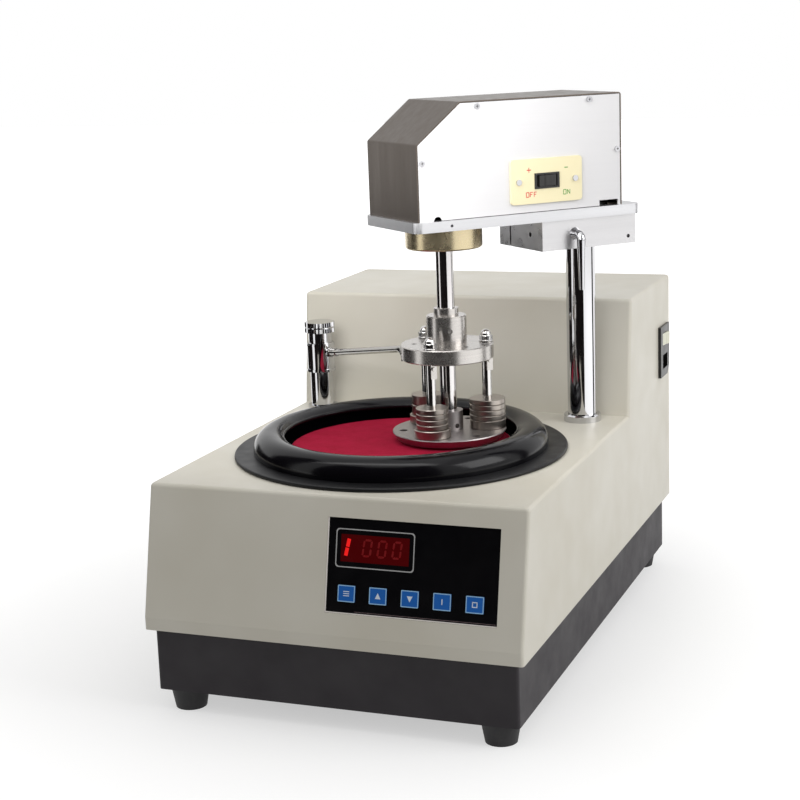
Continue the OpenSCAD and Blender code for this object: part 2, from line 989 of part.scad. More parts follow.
module motor_pulley() {
  color([0.5, 0.5, 0.52])
    translate([0, motor_y, 0])
      union() {
        translate([0, 0, pulley_z])
          rotate_extrude()
            pulley_section(small_pulley_r);
        translate([0, 0, pulley_z])
          cylinder(r = journal_r, h = chassis_z + chassis_t + motor_foot_t - pulley_z);
      }
}

module drive_belt() {
  color([0.08, 0.08, 0.08])
    translate([0, 0, pulley_z + cut])
      linear_extrude(height = pulley_w - 2 * cut)
        difference() {
          polygon(belt_outline(bowl_y, big_pulley_r + belt_gap + belt_t,
            motor_y, small_pulley_r + belt_gap + belt_t, 16));
          polygon(belt_outline(bowl_y, big_pulley_r + belt_gap,
            motor_y, small_pulley_r + belt_gap, 16));
        }
}

module drive_motor() {
  z0 = chassis_z + chassis_t;
  color([0.3, 0.36, 0.45])
    translate([0, motor_y, z0])
      difference() {
        union() {
          translate([-motor_r, -motor_r, 0])
            cube([2 * motor_r, 2 * motor_r, motor_foot_t]);
          cylinder(r = motor_r - fin_d, h = motor_h);
          for (k = [0 : fin_count - 1]) {
            rotate([0, 0, k * 360 / fin_count])
              translate([0, -fin_w / 2, motor_foot_t])
                cube([motor_r - fin_d / 2, fin_w, motor_h - motor_cap_h - motor_foot_t]);
          }
          translate([0, 0, motor_h - motor_cap_h])
            cylinder(r = motor_r, h = motor_cap_h);
        }
        translate([0, 0, -cut])
          cylinder(r = journal_r + gap, h = motor_foot_t + 2 * cut);
      }
}

module control_panel() {
  color([0.05, 0.05, 0.06])
    on_face()
      translate([panel_x, panel_up, -panel_sunk - panel_t])
        difference() {
          union() {
            translate([-panel_w / 2, -panel_h / 2, 0])
              cube([panel_w, panel_h, panel_t]);
            translate([-panel_w / 2 - panel_lap, -panel_h / 2 - panel_lap, 0])
              cube([panel_w + 2 * panel_lap, panel_h + 2 * panel_lap,
                panel_t + panel_sunk - sheet_t - fit]);
          }
          translate([display_x - window_w / 2, display_up - window_h / 2, -cut])
            cube([window_w, window_h, panel_t + 2 * cut]);
          key_places()
            translate([-key_w / 2 - gap, -key_h / 2 - gap, -cut])
              cube([key_w + 2 * gap, key_h + 2 * gap, panel_t + 2 * cut]);
        }
}

// Middle of each key, in the panel's frame
module key_places(first = 0, last = 4) {
  for (k = [first : last]) {
    translate([(k - 2) * key_pitch - key_shift, key_row, 0])
      children();
  }
}
key_shift = 0.3;

module panel_key(k) {
  color([0.16, 0.43, 0.74])
    on_face()
      translate([panel_x, panel_up, -panel_sunk - panel_t])
        key_places(k, k)
          union() {
            linear_extrude(height = panel_t + key_proud)
              polygon(round_rect(-key_w / 2, -key_h / 2, key_w / 2, key_h / 2,
                key_proud, edge_steps));
            translate([0, 0, -key_stem])
              cylinder(r = key_stem_r, h = key_stem + cut);
          }
}

module function_key() {
  panel_key(0);
}

module up_key() {
  panel_key(1);
}

module down_key() {
  panel_key(2);
}

module start_key() {
  panel_key(3);
}

module stop_key() {
  panel_key(4);
}

module display_window() {
  color([0.45, 0.03, 0.05])
    on_face()
      translate([panel_x + display_x, panel_up + display_up, -panel_sunk - panel_t])
        translate([-window_w / 2, -window_h / 2, 0])
          cube([window_w, window_h, panel_t - panel_sunk / 2]);
}

module control_board() {
  post_h = -panel_sunk - panel_t - board_z - board_t;
  color([0.1, 0.35, 0.2])
    on_face()
      translate([panel_x, panel_up, board_z])
        union() {
          translate([-board_w / 2, -board_h / 2 - key_proud, 0])
            cube([board_w, board_h, board_t]);
          for (sx = [-1, 1]) {
            for (sy = [-1, 1]) {
              translate([sx * (board_w / 2 - key_stem_r - cut),
                sy * (board_h / 2 - key_stem_r - cut) - key_proud, 0])
                cylinder(r = key_stem_r, h = post_h + board_t);
            }
          }
          translate([display_x - digit_w / 2, display_up - digit_h / 2, 0])
            cube([digit_w, digit_h, post_h + board_t - gap]);
        }
}

module power_inlet() {
  color([0.05, 0.05, 0.05])
    on_side()
      difference() {
        union() {
          linear_extrude(height = inlet_t)
            polygon([
              [-inlet_w / 2, -inlet_h / 2],
              [inlet_w / 2 - inlet_cut, -inlet_h / 2],
              [inlet_w / 2, inlet_cut - inlet_h / 2],
              [inlet_w / 2, inlet_h / 2],
              [-inlet_w / 2, inlet_h / 2]]);
          translate([-inlet_body_w / 2, -inlet_body_h / 2, -inlet_body_d])
            cube([inlet_body_w, inlet_body_h, inlet_body_d + cut]);
        }
        difference() {
          translate([-socket_w / 2, socket_down - socket_h / 2, inlet_t - socket_d])
            cube([socket_w, socket_h, socket_d + cut]);
          for (sx = [-1, 0, 1]) {
            translate([sx * pin_step - pin_w / 2,
              socket_down - pin_h / 2 + (sx == 0 ? pin_up : -pin_up), inlet_t - socket_d - cut])
              cube([pin_w, pin_h, pin_l + cut]);
          }
        }
        translate([-rocker_w / 2 - gap, rocker_up - rocker_h / 2 - gap, inlet_t - rocker_d])
          cube([rocker_w + 2 * gap, rocker_h + 2 * gap, rocker_d + cut]);
      }
}

// A rocker, tipping about its own Y axis, with its face about z 0
module rocker(w, h, r, d, tilt) {
  rotate([0, tilt, 0])
    translate([0, h / 2, 0])
      rotate([90, 0, 0])
        linear_extrude(height = h)
          difference() {
            intersection() {
              translate([-w / 2, -d])
                square([w, d + cut]);
              translate([0, -d * 0.45])
                circle(r = r);
            }
            translate([0, r])
              circle(r = r - cut * 0.4);
            translate([0, -d / 2])
              circle(r = rocker_pin_r);
          }
}

module power_rocker() {
  color([0.03, 0.03, 0.03])
    on_side()
      translate([0, rocker_up, inlet_t])
        rocker(rocker_w - 5 * gap, rocker_h, rocker_r, rocker_d * 0.55, -rocker_tilt);
}

module column() {
  color([0.82, 0.82, 0.84])
    translate([column_x, column_y, 0])
      rotate_extrude()
        polygon([
          [0, deck_h - stud_l],
          [stud_r, deck_h - stud_l],
          [stud_r, deck_h],
          [column_r, deck_h],
          [column_r, deck_h + column_h - column_chamfer],
          [column_r - column_chamfer, deck_h + column_h],
          [0, deck_h + column_h]]);
}

module column_collar() {
  color([0.75, 0.75, 0.77])
    translate([column_x, column_y, deck_h])
      rotate_extrude()
        polygon([
          [column_r + fit, 0],
          [column_r + collar_w, 0],
          [column_r + collar_w, collar_h - column_chamfer],
          [column_r + collar_w - column_chamfer, collar_h],
          [column_r + fit, collar_h]]);
}

module column_base() {
  color([0.4, 0.4, 0.42])
    translate([column_x, column_y, deck_h - sheet_t - base_plate_t])
      difference() {
        translate([-base_plate_w / 2, -base_plate_d / 2, 0])
          cube([base_plate_w, base_plate_d, base_plate_t]);
        translate([0, 0, -cut])
          cylinder(r = stud_r + fit, h = base_plate_t + 2 * cut);
      }
}

module hex_nut(r, bore, h) {
  difference() {
    cylinder(r = r, h = h, $fn = nut_sides);
    translate([0, 0, -cut])
      cylinder(r = bore, h = h + 2 * cut);
  }
}

module deck_nuts() {
  color("silver") {
    translate([column_x, column_y, deck_h - sheet_t - base_plate_t - nut_h])
      hex_nut(nut_r, stud_r + fit, nut_h);
    translate([-tap_x, tap_y, deck_h - sheet_t - tap_nut_h])
      hex_nut(tap_nut_r, tail_r + fit, tap_nut_h);
  }
}

module tap_pillar() {
  color([0.85, 0.85, 0.87])
    translate([-tap_x, tap_y, deck_h])
      rotate_extrude()
        difference() {
          union() {
            translate([0, -tail_l])
              square([tail_r, tail_l + cut]);
            square([pillar_r, pillar_h - gap]);
            square([pillar_r + pillar_foot_w, pillar_foot_t]);
            translate([0, pillar_h - gap - cut])
              square([spigot_r, spigot_h + cut]);
          }
          translate([0, -tail_l - cut])
            square([supply_bore + supply_wall / 2 + fit, tail_lap + cut + gap]);
        }
}

// Frame of the tap's outlet: X along the water tube, origin on the tap's axis
module in_outlet() {
  translate([-tap_x, tap_y, deck_h + pillar_h + outlet_up])
    rotate([0, -tube_rise_a, outlet_turn])
      children();
}

module tap_body() {
  color([0.85, 0.85, 0.87])
    difference() {
      union() {
        translate([-tap_x, tap_y, deck_h + pillar_h])
          union() {
            cylinder(r = valve_r, h = valve_h);
            cylinder(r = valve_r + valve_ring_w, h = valve_ring_h);
            translate([0, 0, valve_h - valve_ring_h])
              cylinder(r = valve_r + valve_ring_w / 2, h = valve_ring_h / 2);
            translate([0, 0, valve_h])
              cylinder(r = bonnet_r, h = bonnet_h);
          }
        in_outlet()
          rotate([0, 90, 0])
            cylinder(r = sleeve_r, h = valve_r + outlet_nut_l / 2);
      }
      translate([-tap_x, tap_y, deck_h + pillar_h - cut])
        cylinder(r = spigot_r + fit, h = spigot_h + cut);
      translate([-tap_x, tap_y, deck_h + pillar_h + valve_h + bonnet_h - stem_h])
        cylinder(r = stem_r + fit, h = stem_h + cut);
    }
}

module water_tube() {
  start = valve_r + outlet_nut_l / 2;
  color([0.75, 0.75, 0.73])
    in_outlet()
      difference() {
        union() {
          translate([start, 0, 0])
            rotate([0, 90, 0])
              cylinder(r = tube_r, h = tube_reach - start);
          translate([start, 0, 0])
            rotate([0, 90, 0])
              cylinder(r = outlet_nut_r, h = outlet_nut_l / 2, $fn = nut_sides);
          translate([start, 0, 0])
            rotate([0, 90, 0])
              cylinder(r = sleeve_r, h = sleeve_l + outlet_nut_l);
          translate([tube_reach, 0, -tube_bend])
            rotate([90, 0, 0])
              rotate_extrude(angle = tube_y_turn)
                translate([tube_bend, 0])
                  circle(r = tube_r);
          translate([tube_reach + tube_bend, 0, -tube_bend - tube_drop])
            cylinder(r = tube_r, h = tube_drop);
        }
        translate([start - cut, 0, 0])
          rotate([0, 90, 0])
            cylinder(r = tube_r - tube_wall, h = tube_reach - start + cut);
        translate([tube_reach, 0, -tube_bend])
          rotate([90, 0, 0])
            rotate_extrude(angle = tube_y_turn)
              translate([tube_bend, 0])
                circle(r = tube_r - tube_wall);
        translate([tube_reach + tube_bend, 0, -tube_bend - tube_drop - cut])
          cylinder(r = tube_r - tube_wall, h = tube_drop + cut);
      }
}

module tap_knob() {
  color([0.7, 0.72, 0.7])
    translate([-tap_x, tap_y, deck_h + pillar_h + valve_h + bonnet_h])
      union() {
        difference() {
          translate([0, 0, gap])
            linear_extrude(height = knob_h - gap)
              polygon([for (k = [0 : 2 * knob_teeth - 1])
                (knob_r - (k % 2) * knob_tooth) * [cos(180 * k / knob_teeth), sin(180 * k / knob_teeth)]]);
          translate([0, 0, (knob_h - knob_groove) / 2])
            rotate_extrude()
              translate([knob_r - knob_groove_d, 0])
                square([2 * knob_groove_d, knob_groove]);
        }
        translate([0, 0, gap - stem_h])
          cylinder(r = stem_r, h = stem_h);
      }
}

module column_bush() {
  color([0.7, 0.6, 0.35])
    translate([column_x, column_y, plate_z - block_h])
      rotate_extrude()
        union() {
          translate([column_r + fit, 0])
            square([bush_wall, block_h + plate_t + gap]);
          translate([column_r + fit, block_h + plate_t + gap])
            square([bush_wall + bush_flange_w, bush_flange_t]);
        }
}

module column_bore(z0, h) {
  translate([arm_reach, arm_offset, z0 - cut])
    cylinder(r = column_r + bush_wall + 2 * fit, h = h + 2 * cut);
}

module head_plate() {
  color([0.8, 0.8, 0.8])
    in_head()
      difference() {
        translate([0, 0, plate_z])
          linear_extrude(height = plate_t)
            polygon(round_rect(plate_front, -plate_w / 2, plate_rear, plate_w / 2,
              plate_corner, 2 * edge_steps));
        column_bore(plate_z, plate_t);
        translate([0, 0, plate_z - cut])
          cylinder(r = spindle_r + 1, h = plate_t + 2 * cut);
        translate([plate_front + 40, -plate_w / 2 - cut, plate_z + plate_t / 2])
          rotate([-90, 0, 0])
            cylinder(r = hood_screw_r, h = hood_screw_l + cut);
      }
}

module clamp_block() {
  z0 = plate_z - block_h;
  color([0.72, 0.72, 0.73])
    in_head()
      difference() {
        translate([block_rear - block_l, block_near, z0])
          cube([block_l, block_far - block_near, block_h]);
        column_bore(z0, block_h);
        translate([block_rear - block_l - cut, arm_offset - block_slot / 2, z0 - cut])
          cube([arm_reach - block_rear + block_l + cut, block_slot, block_h + 2 * cut]);
        translate([arm_reach - lever_back, block_near - cut, plate_z - lever_down])
          rotate([-90, 0, 0])
            cylinder(r = lever_shank_r + fit, h = block_far - block_near - bolt_in + cut);
        translate([block_rear - block_l - cut, block_near / 2, z0 + block_h / 2])
          rotate([0, 90, 0])
            cylinder(r = block_hole_r, h = bolt_in + cut);
        translate([block_rear - bolt_in, block_near - cut, z0 + block_screw_up])
          rotate([-90, 0, 0])
            cylinder(r = bolt_head_r / 2, h = bolt_in + cut);
      }
}

module clamp_lever() {
  color([0.75, 0.75, 0.76])
    in_head()
      translate([arm_reach - lever_back, block_near - gap, plate_z - lever_down])
        union() {
          rotate([90, 0, 0])
            cylinder(r1 = lever_hub_r, r2 = lever_neck_r, h = lever_out - lever_bend);
          translate([0, lever_bend - lever_out, -lever_bend])
            rotate([180, -90, 0])
              rotate_extrude(angle = tube_y_turn)
                translate([lever_bend, 0])
                  circle(r = lever_neck_r);
          translate([0, -lever_out, -lever_rod_l])
            cylinder(r1 = lever_rod_r, r2 = lever_neck_r, h = lever_rod_l - lever_bend);
          translate([0, block_far - block_near - bolt_in - cut, 0])
            rotate([90, 0, 0])
              cylinder(r = lever_shank_r, h = block_far - block_near - bolt_in);
        }
}

// An arc of radius r inside the corner q between p and w
function fold(p, q, w, r) =
  let (a = atan2(p[1] - q[1], p[0] - q[0]))
  let (b = atan2(w[1] - q[1], w[0] - q[0]))
  let (turn = (b - a + 720) % 360)
  let (m = a + turn / 2)
  let (c = q + r / sin(turn / 2) * [cos(m), sin(m)])
  arc_points(c[0], c[1], r, m + 180 + (180 - turn) / 2, m + 180 - (180 - turn) / 2, edge_steps);

// Side view of the head cover, drawn in by a distance
function hood_view(d) =
  let (slope_a = atan((hood_h - hood_front) / hood_slope))
  let (back = d * tan((90 - slope_a) / 2))
  let (up = d * tan(slope_a / 2))
  let (p = [
    [hood_x0 + d, plate_top],
    [hood_x0 + d, plate_top + hood_front - back],
    [hood_slope_x + up, hood_top - d],
    [hood_rear - d, hood_top - d],
    [hood_rear - d, plate_top]])
  concat([p[0]], fold(p[0], p[1], p[2], hood_bend - d), fold(p[1], p[2], p[3], hood_bend - d),
    fold(p[2], p[3], p[4], hood_bend - d), [p[4]]);

module head_cover() {
  arch_r = column_r + bush_wall + bush_flange_w + gap;
  arch_h = deck_h + column_h - plate_top - column_r;
  color([0.5, 0.48, 0.45])
    in_head()
      difference() {
        union() {
          along_y(-cover_w / 2, cover_w)
            difference() {
              polygon(hood_view(0));
              polygon(concat([[hood_x0 + hood_t, plate_top - cut]], hood_view(hood_t),
                [[hood_rear - hood_t, plate_top - cut]]));
            }
          for (x = [hood_x0 + hood_t / 2, hood_rear - hood_t / 2 - hood_foot]) {
            translate([x, -cover_w / 2 + hood_foot, plate_top])
              cube([hood_foot, cover_w - 2 * hood_foot, hood_t]);
          }
          for (sy = [-1, 1]) {
            for (p = hood_screw_places) {
              translate([p[0], sy * (cover_w / 2 - 1.5 * hood_t - fit), p[1]])
                cube([2 * hood_screw_in - hood_t, hood_t, 2 * hood_screw_in - hood_t],
                  center = true);
            }
          }
        }
        translate([hood_rear - 2 * hood_foot, arm_offset - arch_r, plate_top - cut])
          cube([2 * hood_foot + cut, 2 * arch_r, arch_h + cut]);
        translate([hood_rear - 2 * hood_foot, arm_offset, plate_top + arch_h])
          rotate([0, 90, 0])
            cylinder(r = arch_r, h = 2 * hood_foot + cut);
        for (p = hood_screw_places) {
          translate([p[0], -cover_w / 2, p[1]])
            rotate([-90, 0, 0])
              cylinder(r = hood_screw_r + fit, h = cover_w);
        }
      }
}

// The screws on one side of the head cover, in side-view places
hood_screw_places = [
  [hood_slope_x + 19, hood_top - hood_screw_in],
  [hood_rear - 39, hood_top - hood_screw_in],
  [hood_rear - hood_screw_in, plate_top + hood_h / 2],
  [hood_x0 + hood_screw_in, plate_top + hood_h / 2]];

// A side plate standing inside the cover's edge, its outer face at z 0 and its body below
module hood_side() {
  translate([0, 0, -hood_t])
    linear_extrude(height = hood_t)
      difference() {
        polygon(hood_view(hood_t + fit));
        for (p = hood_screw_places) {
          translate(p)
            circle(r = hood_screw_r + fit);
        }
        translate([hood_x0 + 22, plate_top])
          circle(r = notch_r);
        translate([hood_rear - hood_t - slot_w - slot_h / 2, plate_top - cut])
          square([slot_w, slot_h + cut]);
      }
}

module near_side_plate() {
  color([0.9, 0.9, 0.9])
    in_head()
      difference() {
        on_near()
          hood_side();
        on_near()
          translate([switch_x - switch_body_w / 2 - gap, switch_z - switch_body_h / 2 - gap,
            -hood_t - cut])
            cube([switch_body_w + 2 * gap, switch_body_h + 2 * gap, hood_t + 2 * cut]);
        on_near()
          for (sx = [-1, 1]) {
            translate([switch_x + sx * switch_screw, switch_z, -hood_t - cut])
              cylinder(r = hood_screw_r + fit, h = hood_t + 2 * cut);
          }
      }
}

module far_side_plate() {
  color([0.85, 0.85, 0.85])
    in_head()
      translate([0, cover_w - hood_t, 0])
        on_near()
          hood_side();
}

module cover_screw() {
  rotate_extrude()
    union() {
      square([hood_screw_head_r, hood_screw_head_h]);
      translate([0, -hood_screw_l])
        square([hood_screw_r, hood_screw_l + cut]);
    }
}

module cover_screws() {
  color("silver")
    in_head() {
      for (p = hood_screw_places) {
        on_near()
          translate([p[0], p[1], 0])
            cover_screw();
        mirror([0, 1, 0])
          on_near()
            translate([p[0], p[1], 0])
              cover_screw();
      }
      on_near()
        for (sx = [-1, 1]) {
          translate([switch_x + sx * switch_screw, switch_z, switch_t])
            cover_screw();
        }
    }
}

module switch_plate() {
  color([0.93, 0.89, 0.76])
    in_head()
      on_near()
        translate([switch_x, switch_z, 0])
          linear_extrude(height = switch_t)
            difference() {
              polygon(round_rect(-switch_w / 2, -switch_h / 2, switch_w / 2, switch_h / 2,
                edge_r, edge_steps));
              square([head_rocker_w + 2 * fit, head_rocker_h + 2 * fit], center = true);
              for (sx = [-1, 1]) {
                translate([sx * switch_screw, 0])
                  circle(r = hood_screw_r + fit);
              }
            }
}

module rocker_switch() {
  color([0.05, 0.05, 0.05])
    in_head()
      on_near()
        translate([switch_x, switch_z, 0])
          difference() {
            union() {
              translate([-head_rocker_w / 2, -head_rocker_h / 2, 0])
                cube([head_rocker_w, head_rocker_h, switch_t + switch_rim]);
              translate([-switch_body_w / 2, -switch_body_h / 2, -switch_body_d])
                cube([switch_body_w, switch_body_h, switch_body_d + cut]);
            }
            translate([-switch_body_w / 2 + switch_rim, -switch_body_h / 2 + switch_rim,
              switch_rim - switch_body_d])
              cube([switch_body_w - 2 * switch_rim, switch_body_h - 2 * switch_rim,
                switch_body_d + switch_t + cut]);
          }
}

module head_rocker() {
  color([0.05, 0.05, 0.05])
    in_head()
      on_near()
        translate([switch_x, switch_z, switch_t + switch_rim])
          rocker(switch_body_w - 4.4 * switch_rim, switch_body_h - 3 * switch_rim, head_rocker_r,
            switch_body_d * 0.4, head_rocker_tilt);
}

module head_motor() {
  color([0.25, 0.26, 0.28])
    in_head()
      translate([0, 0, plate_top])
        difference() {
          union() {
            translate([-gear_w / 2, -gear_w / 2, 0])
              cube([gear_w, gear_w, gear_h]);
            translate([0, 0, gear_h - cut])
              cylinder(r = geared_r, h = geared_h + cut);
          }
          translate([0, 0, -cut])
            cylinder(r = spindle_r + gap, h = gear_h / 2 + cut);
        }
}

module bearing_flange() {
  color([0.72, 0.62, 0.38])
    in_head()
      translate([0, 0, plate_z - brass_h])
        rotate_extrude()
          polygon([
            [spindle_r + fit, 0],
            [brass_r - brass_edge, 0],
            [brass_r, brass_edge],
            [brass_r, brass_h],
            [spindle_r + fit, brass_h]]);
}

module head_spindle() {
  color([0.7, 0.7, 0.7])
    in_head()
      rotate_extrude()
        union() {
          translate([0, holder_z + holder_t / 2])
            square([shaft_r, carrier_bottom - holder_z]);
          translate([0, carrier_bottom])
            square([shaft_r, carrier_t + hub_h / 2]);
          translate([0, carrier_top + hub_h / 2 - cut])
            square([spindle_r, plate_top + gear_h / 3 - carrier_top - hub_h / 2 + cut]);
        }
}

module hub_sleeve() {
  color([0.66, 0.65, 0.63])
    in_head()
      difference() {
        translate([0, 0, carrier_top])
          rotate_extrude()
            union() {
              square([hub_r, hub_h - cut]);
              square([hub_r - cut, hub_h]);
              square([collar_r, hub_h + hub_collar_h]);
            }
        translate([0, 0, carrier_top - cut])
          cylinder(r = shaft_r + fit, h = hub_h / 2 + cut);
        translate([0, 0, carrier_top + hub_h / 2 - cut])
          cylinder(r = spindle_r + fit, h = hub_h + hub_collar_h);
        translate([0, 0, carrier_top + hub_h / 2])
          rotate([0, 90, -head_yaw - 60])
            translate([0, 0, hub_r - set_screw_l])
              cylinder(r = set_screw_r, h = set_screw_l + cut);
      }
}

// Places for the three plungers, or for one of them
module plunger_places(first = 0, last = 2) {
  in_head()
    for (k = [first : last]) {
      rotate([0, 0, plunger_turn - head_yaw + k * step_a])
        translate([plunger_pitch, 0, 0])
          children();
    }
}

module carrier_flange() {
  color([0.68, 0.67, 0.65])
    difference() {
      union() {
        in_head()
          translate([0, 0, carrier_bottom])
            rotate_extrude()
              polygon([
                [shaft_r + fit, 0],
                [carrier_r - carrier_edge, 0],
                [carrier_r, carrier_edge],
                [carrier_r, carrier_t - carrier_edge],
                [carrier_r - carrier_edge, carrier_t],
                [shaft_r + fit, carrier_t]]);
        for (k = [0 : 2]) {
          plunger_places(k, k)
            rotate([0, 0, clip_turn - plunger_turn - k * step_a])
              union() {
            translate([rod_r + gap, -clip_w / 2, carrier_bottom - clip_h])
              cube([clip_t, clip_w, clip_h + cut]);
            translate([rod_r + gap + clip_t, 0, carrier_bottom - clip_head_r - cut])
              rotate([0, 90, 0])
                cylinder(r = clip_head_r, h = clip_head_h);
              }
        }
      }
      plunger_places()
        translate([0, 0, carrier_bottom - cut])
          cylinder(r = rod_r + fit, h = carrier_t + 2 * cut);
      in_head()
        for (k = [0 : 2]) {
          rotate([0, 0, plunger_turn - head_yaw + (k + 0.5) * step_a])
            translate([hub_screw_pitch, 0, carrier_top - hub_screw_h])
              cylinder(r = hub_screw_r, h = hub_screw_h + cut);
        }
    }
}

module holder_plate() {
  color([0.72, 0.72, 0.7])
    difference() {
      in_head()
        rotate_extrude()
          union() {
            polygon([
              [shaft_r + fit, holder_z],
              [holder_r - holder_bevel, holder_z],
              [holder_r, holder_z + holder_t - cut],
              [holder_r - cut / 2, holder_top],
              [shaft_r + fit, holder_top]]);
            translate([shaft_r + fit, holder_z])
              square([boss_r - shaft_r - fit, holder_t + boss_h]);
          }
      plunger_places()
        translate([0, 0, holder_z - cut])
          cylinder(r = seat_r, h = holder_t + 2 * cut);
      in_head()
        for (k = [0 : 2]) {
          rotate([0, 0, plunger_turn - head_yaw + (k + 0.5) * step_a])
            translate([spare_pitch, 0, holder_z - cut])
              cylinder(r = spare_hole_r, h = holder_t + 2 * cut);
        }
      in_head()
        translate([0, 0, holder_top + boss_h / 4])
          rotate([0, 90, plunger_turn - head_yaw + step_a / 2])
            translate([0, 0, shaft_r])
              cylinder(r = set_screw_r, h = boss_r);
    }
}

// A sprung rod with a pressing foot and a domed nut
module plunger(k) {
  rod_z = holder_top + gap;
  color([0.75, 0.75, 0.74])
    plunger_places(k, k)
      union() {
        translate([0, 0, rod_z])
          rotate_extrude()
            union() {
              square([foot_ring_r, foot_ring_h]);
              square([rod_r, carrier_top + gap + cut - rod_z]);
              translate([0, -tip_l])
                square([tip_r, tip_l + cut]);
            }
        translate([0, 0, carrier_top + gap])
          cylinder(r = nut_af_r, h = nut_flat_h, $fn = nut_sides);
        translate([0, 0, carrier_top + gap + nut_flat_h])
          intersection() {
            sphere(r = nut_dome_r);
            translate([-nut_dome_r, -nut_dome_r, 0])
              cube([2 * nut_dome_r, 2 * nut_dome_r, nut_dome_r]);
          }
        translate([0, 0, carrier_top + gap + nut_flat_h + nut_dome_r / 2])
          cylinder(r = nut_dome_r * 0.8, h = nut_dome_r / 2);
      }
}

module plunger_front() {
  plunger(0);
}

module plunger_right() {
  plunger(1);
}

module plunger_left() {
  plunger(2);
}

// Ring weights stacked on a plunger's foot
module weights(k, r, count) {
  weight_h = weight_stack_h / count - weight_gap;
  color([0.62, 0.6, 0.58])
    plunger_places(k, k)
      for (i = [0 : count - 1]) {
        translate([0, 0, holder_top + gap + foot_ring_h + i * (weight_h + weight_gap)])
          rotate_extrude()
            polygon([
              [rod_r + fit, 0],
              [r - weight_edge, 0],
              [r, weight_edge],
              [r, weight_h - weight_edge],
              [r - weight_edge, weight_h],
              [rod_r + fit, weight_h]]);
      }
}

module weights_front() {
  weights(0, weight_small_r, 4);
}

module weights_right() {
  weights(1, weight_large_r, 4);
}

module weights_left() {
  weights(2, weight_small_r, 2);
}

base_tray();
top_cover();
rear_panel();
rubber_feet();
case_screws();
splash_basin();
drain_pipe();
supply_pipe();
bearing_housing();
spindle_bearings();
chassis_frame();
drive_motor();
drive_belt();
control_panel();
display_window();
control_board();
power_inlet();
column();
column_collar();
column_base();
deck_nuts();
tap_pillar();
splash_ring();
platen_spindle();
platen();
polishing_cloth();
driven_pulley();
motor_pulley();
function_key();
up_key();
down_key();
start_key();
stop_key();
power_rocker();
tap_body();
water_tube();
tap_knob();
column_bush();
head_plate();
clamp_block();
head_cover();
near_side_plate();
far_side_plate();
cover_screws();
switch_plate();
rocker_switch();
head_motor();
bearing_flange();
clamp_lever();
head_rocker();
head_spindle();
hub_sleeve();
carrier_flange();
holder_plate();
plunger_front();
plunger_right();
plunger_left();
weights_front();
weights_right();
weights_left();
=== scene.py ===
import math

import bpy
import numpy as np
from mathutils import Matrix, Vector


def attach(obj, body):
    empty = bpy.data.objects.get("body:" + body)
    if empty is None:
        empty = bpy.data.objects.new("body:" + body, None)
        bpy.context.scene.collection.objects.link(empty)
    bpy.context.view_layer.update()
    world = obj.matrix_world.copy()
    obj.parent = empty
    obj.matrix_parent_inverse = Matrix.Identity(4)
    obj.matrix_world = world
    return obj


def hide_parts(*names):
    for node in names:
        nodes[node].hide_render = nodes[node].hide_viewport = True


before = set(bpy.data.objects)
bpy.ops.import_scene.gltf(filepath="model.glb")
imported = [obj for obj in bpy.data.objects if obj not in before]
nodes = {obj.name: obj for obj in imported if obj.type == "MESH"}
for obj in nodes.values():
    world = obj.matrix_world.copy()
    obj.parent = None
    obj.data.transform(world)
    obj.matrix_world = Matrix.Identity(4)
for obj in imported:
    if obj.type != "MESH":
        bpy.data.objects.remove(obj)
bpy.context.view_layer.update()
MM = 0.001

# Places on the machine

FACE_LEAN = math.atan(30 / 129.5)
FACE_FOOT = np.array([0, -308, 98.5]) * MM
FACE_UP = np.array([0, math.sin(FACE_LEAN), math.cos(FACE_LEAN)])
FACE_OUT = np.array([0, -math.cos(FACE_LEAN), math.sin(FACE_LEAN)])
HEAD_TURN = math.radians(48)
HEAD_ALONG = np.array([math.cos(HEAD_TURN), math.sin(HEAD_TURN), 0])
HEAD_NEAR = np.array([math.sin(HEAD_TURN), -math.cos(HEAD_TURN), 0])
HEAD_FOOT = np.array([43.792, -64.756, 0]) * MM
BOWL = np.array([0, -93.5, 0]) * MM
PANEL_DEPTH = 1.0  # mm that the panel lies below the control face
NEAR_SIDE = 53.5  # mm from the head's middle plane to its near side plate
PLUNGER_RING = 40.4  # mm from the head's axis to each plunger
FIRST_PLUNGER = -96  # degrees
PANEL_X, PANEL_UP = 83, 67  # middle of the panel on the control face, mm
PANEL_HALF_WIDTH, PANEL_HALF_HEIGHT = 85.5, 45
KEY_PITCH = 31.9
CLOTH_RADIUS = 114.4
CLOTH_FOOT, CLOTH_TOP = 234.02, 234.86  # heights of its underside and of the middle of its top


def on_face(p, lift):
    """Points (x, up the control face) in mm, lifted off the panel, as points in the frame."""
    p = np.asarray(p, float) * MM
    x = p[:, :1] * np.array([1.0, 0, 0])
    return FACE_FOOT + x + p[:, 1:2] * FACE_UP + (lift - PANEL_DEPTH) * MM * FACE_OUT


def on_near_side(p, lift):
    """Points (along the head, height) in mm, lifted off the near side plate, as points in the frame."""
    p = np.asarray(p, float) * MM
    out = HEAD_FOOT + p[:, :1] * HEAD_ALONG + (NEAR_SIDE + lift) * MM * HEAD_NEAR
    out[:, 2] += p[:, 1]
    return out


def plunger_place(k):
    """Foot of the axis of one plunger, a third of a turn from the next."""
    a = math.radians(FIRST_PLUNGER + 120 * k)
    r = PLUNGER_RING / 1000
    return (HEAD_FOOT[0] + r * math.cos(a), HEAD_FOOT[1] + r * math.sin(a), 0.0)


# Mesh builders

SHARP_EDGE = math.radians(35)


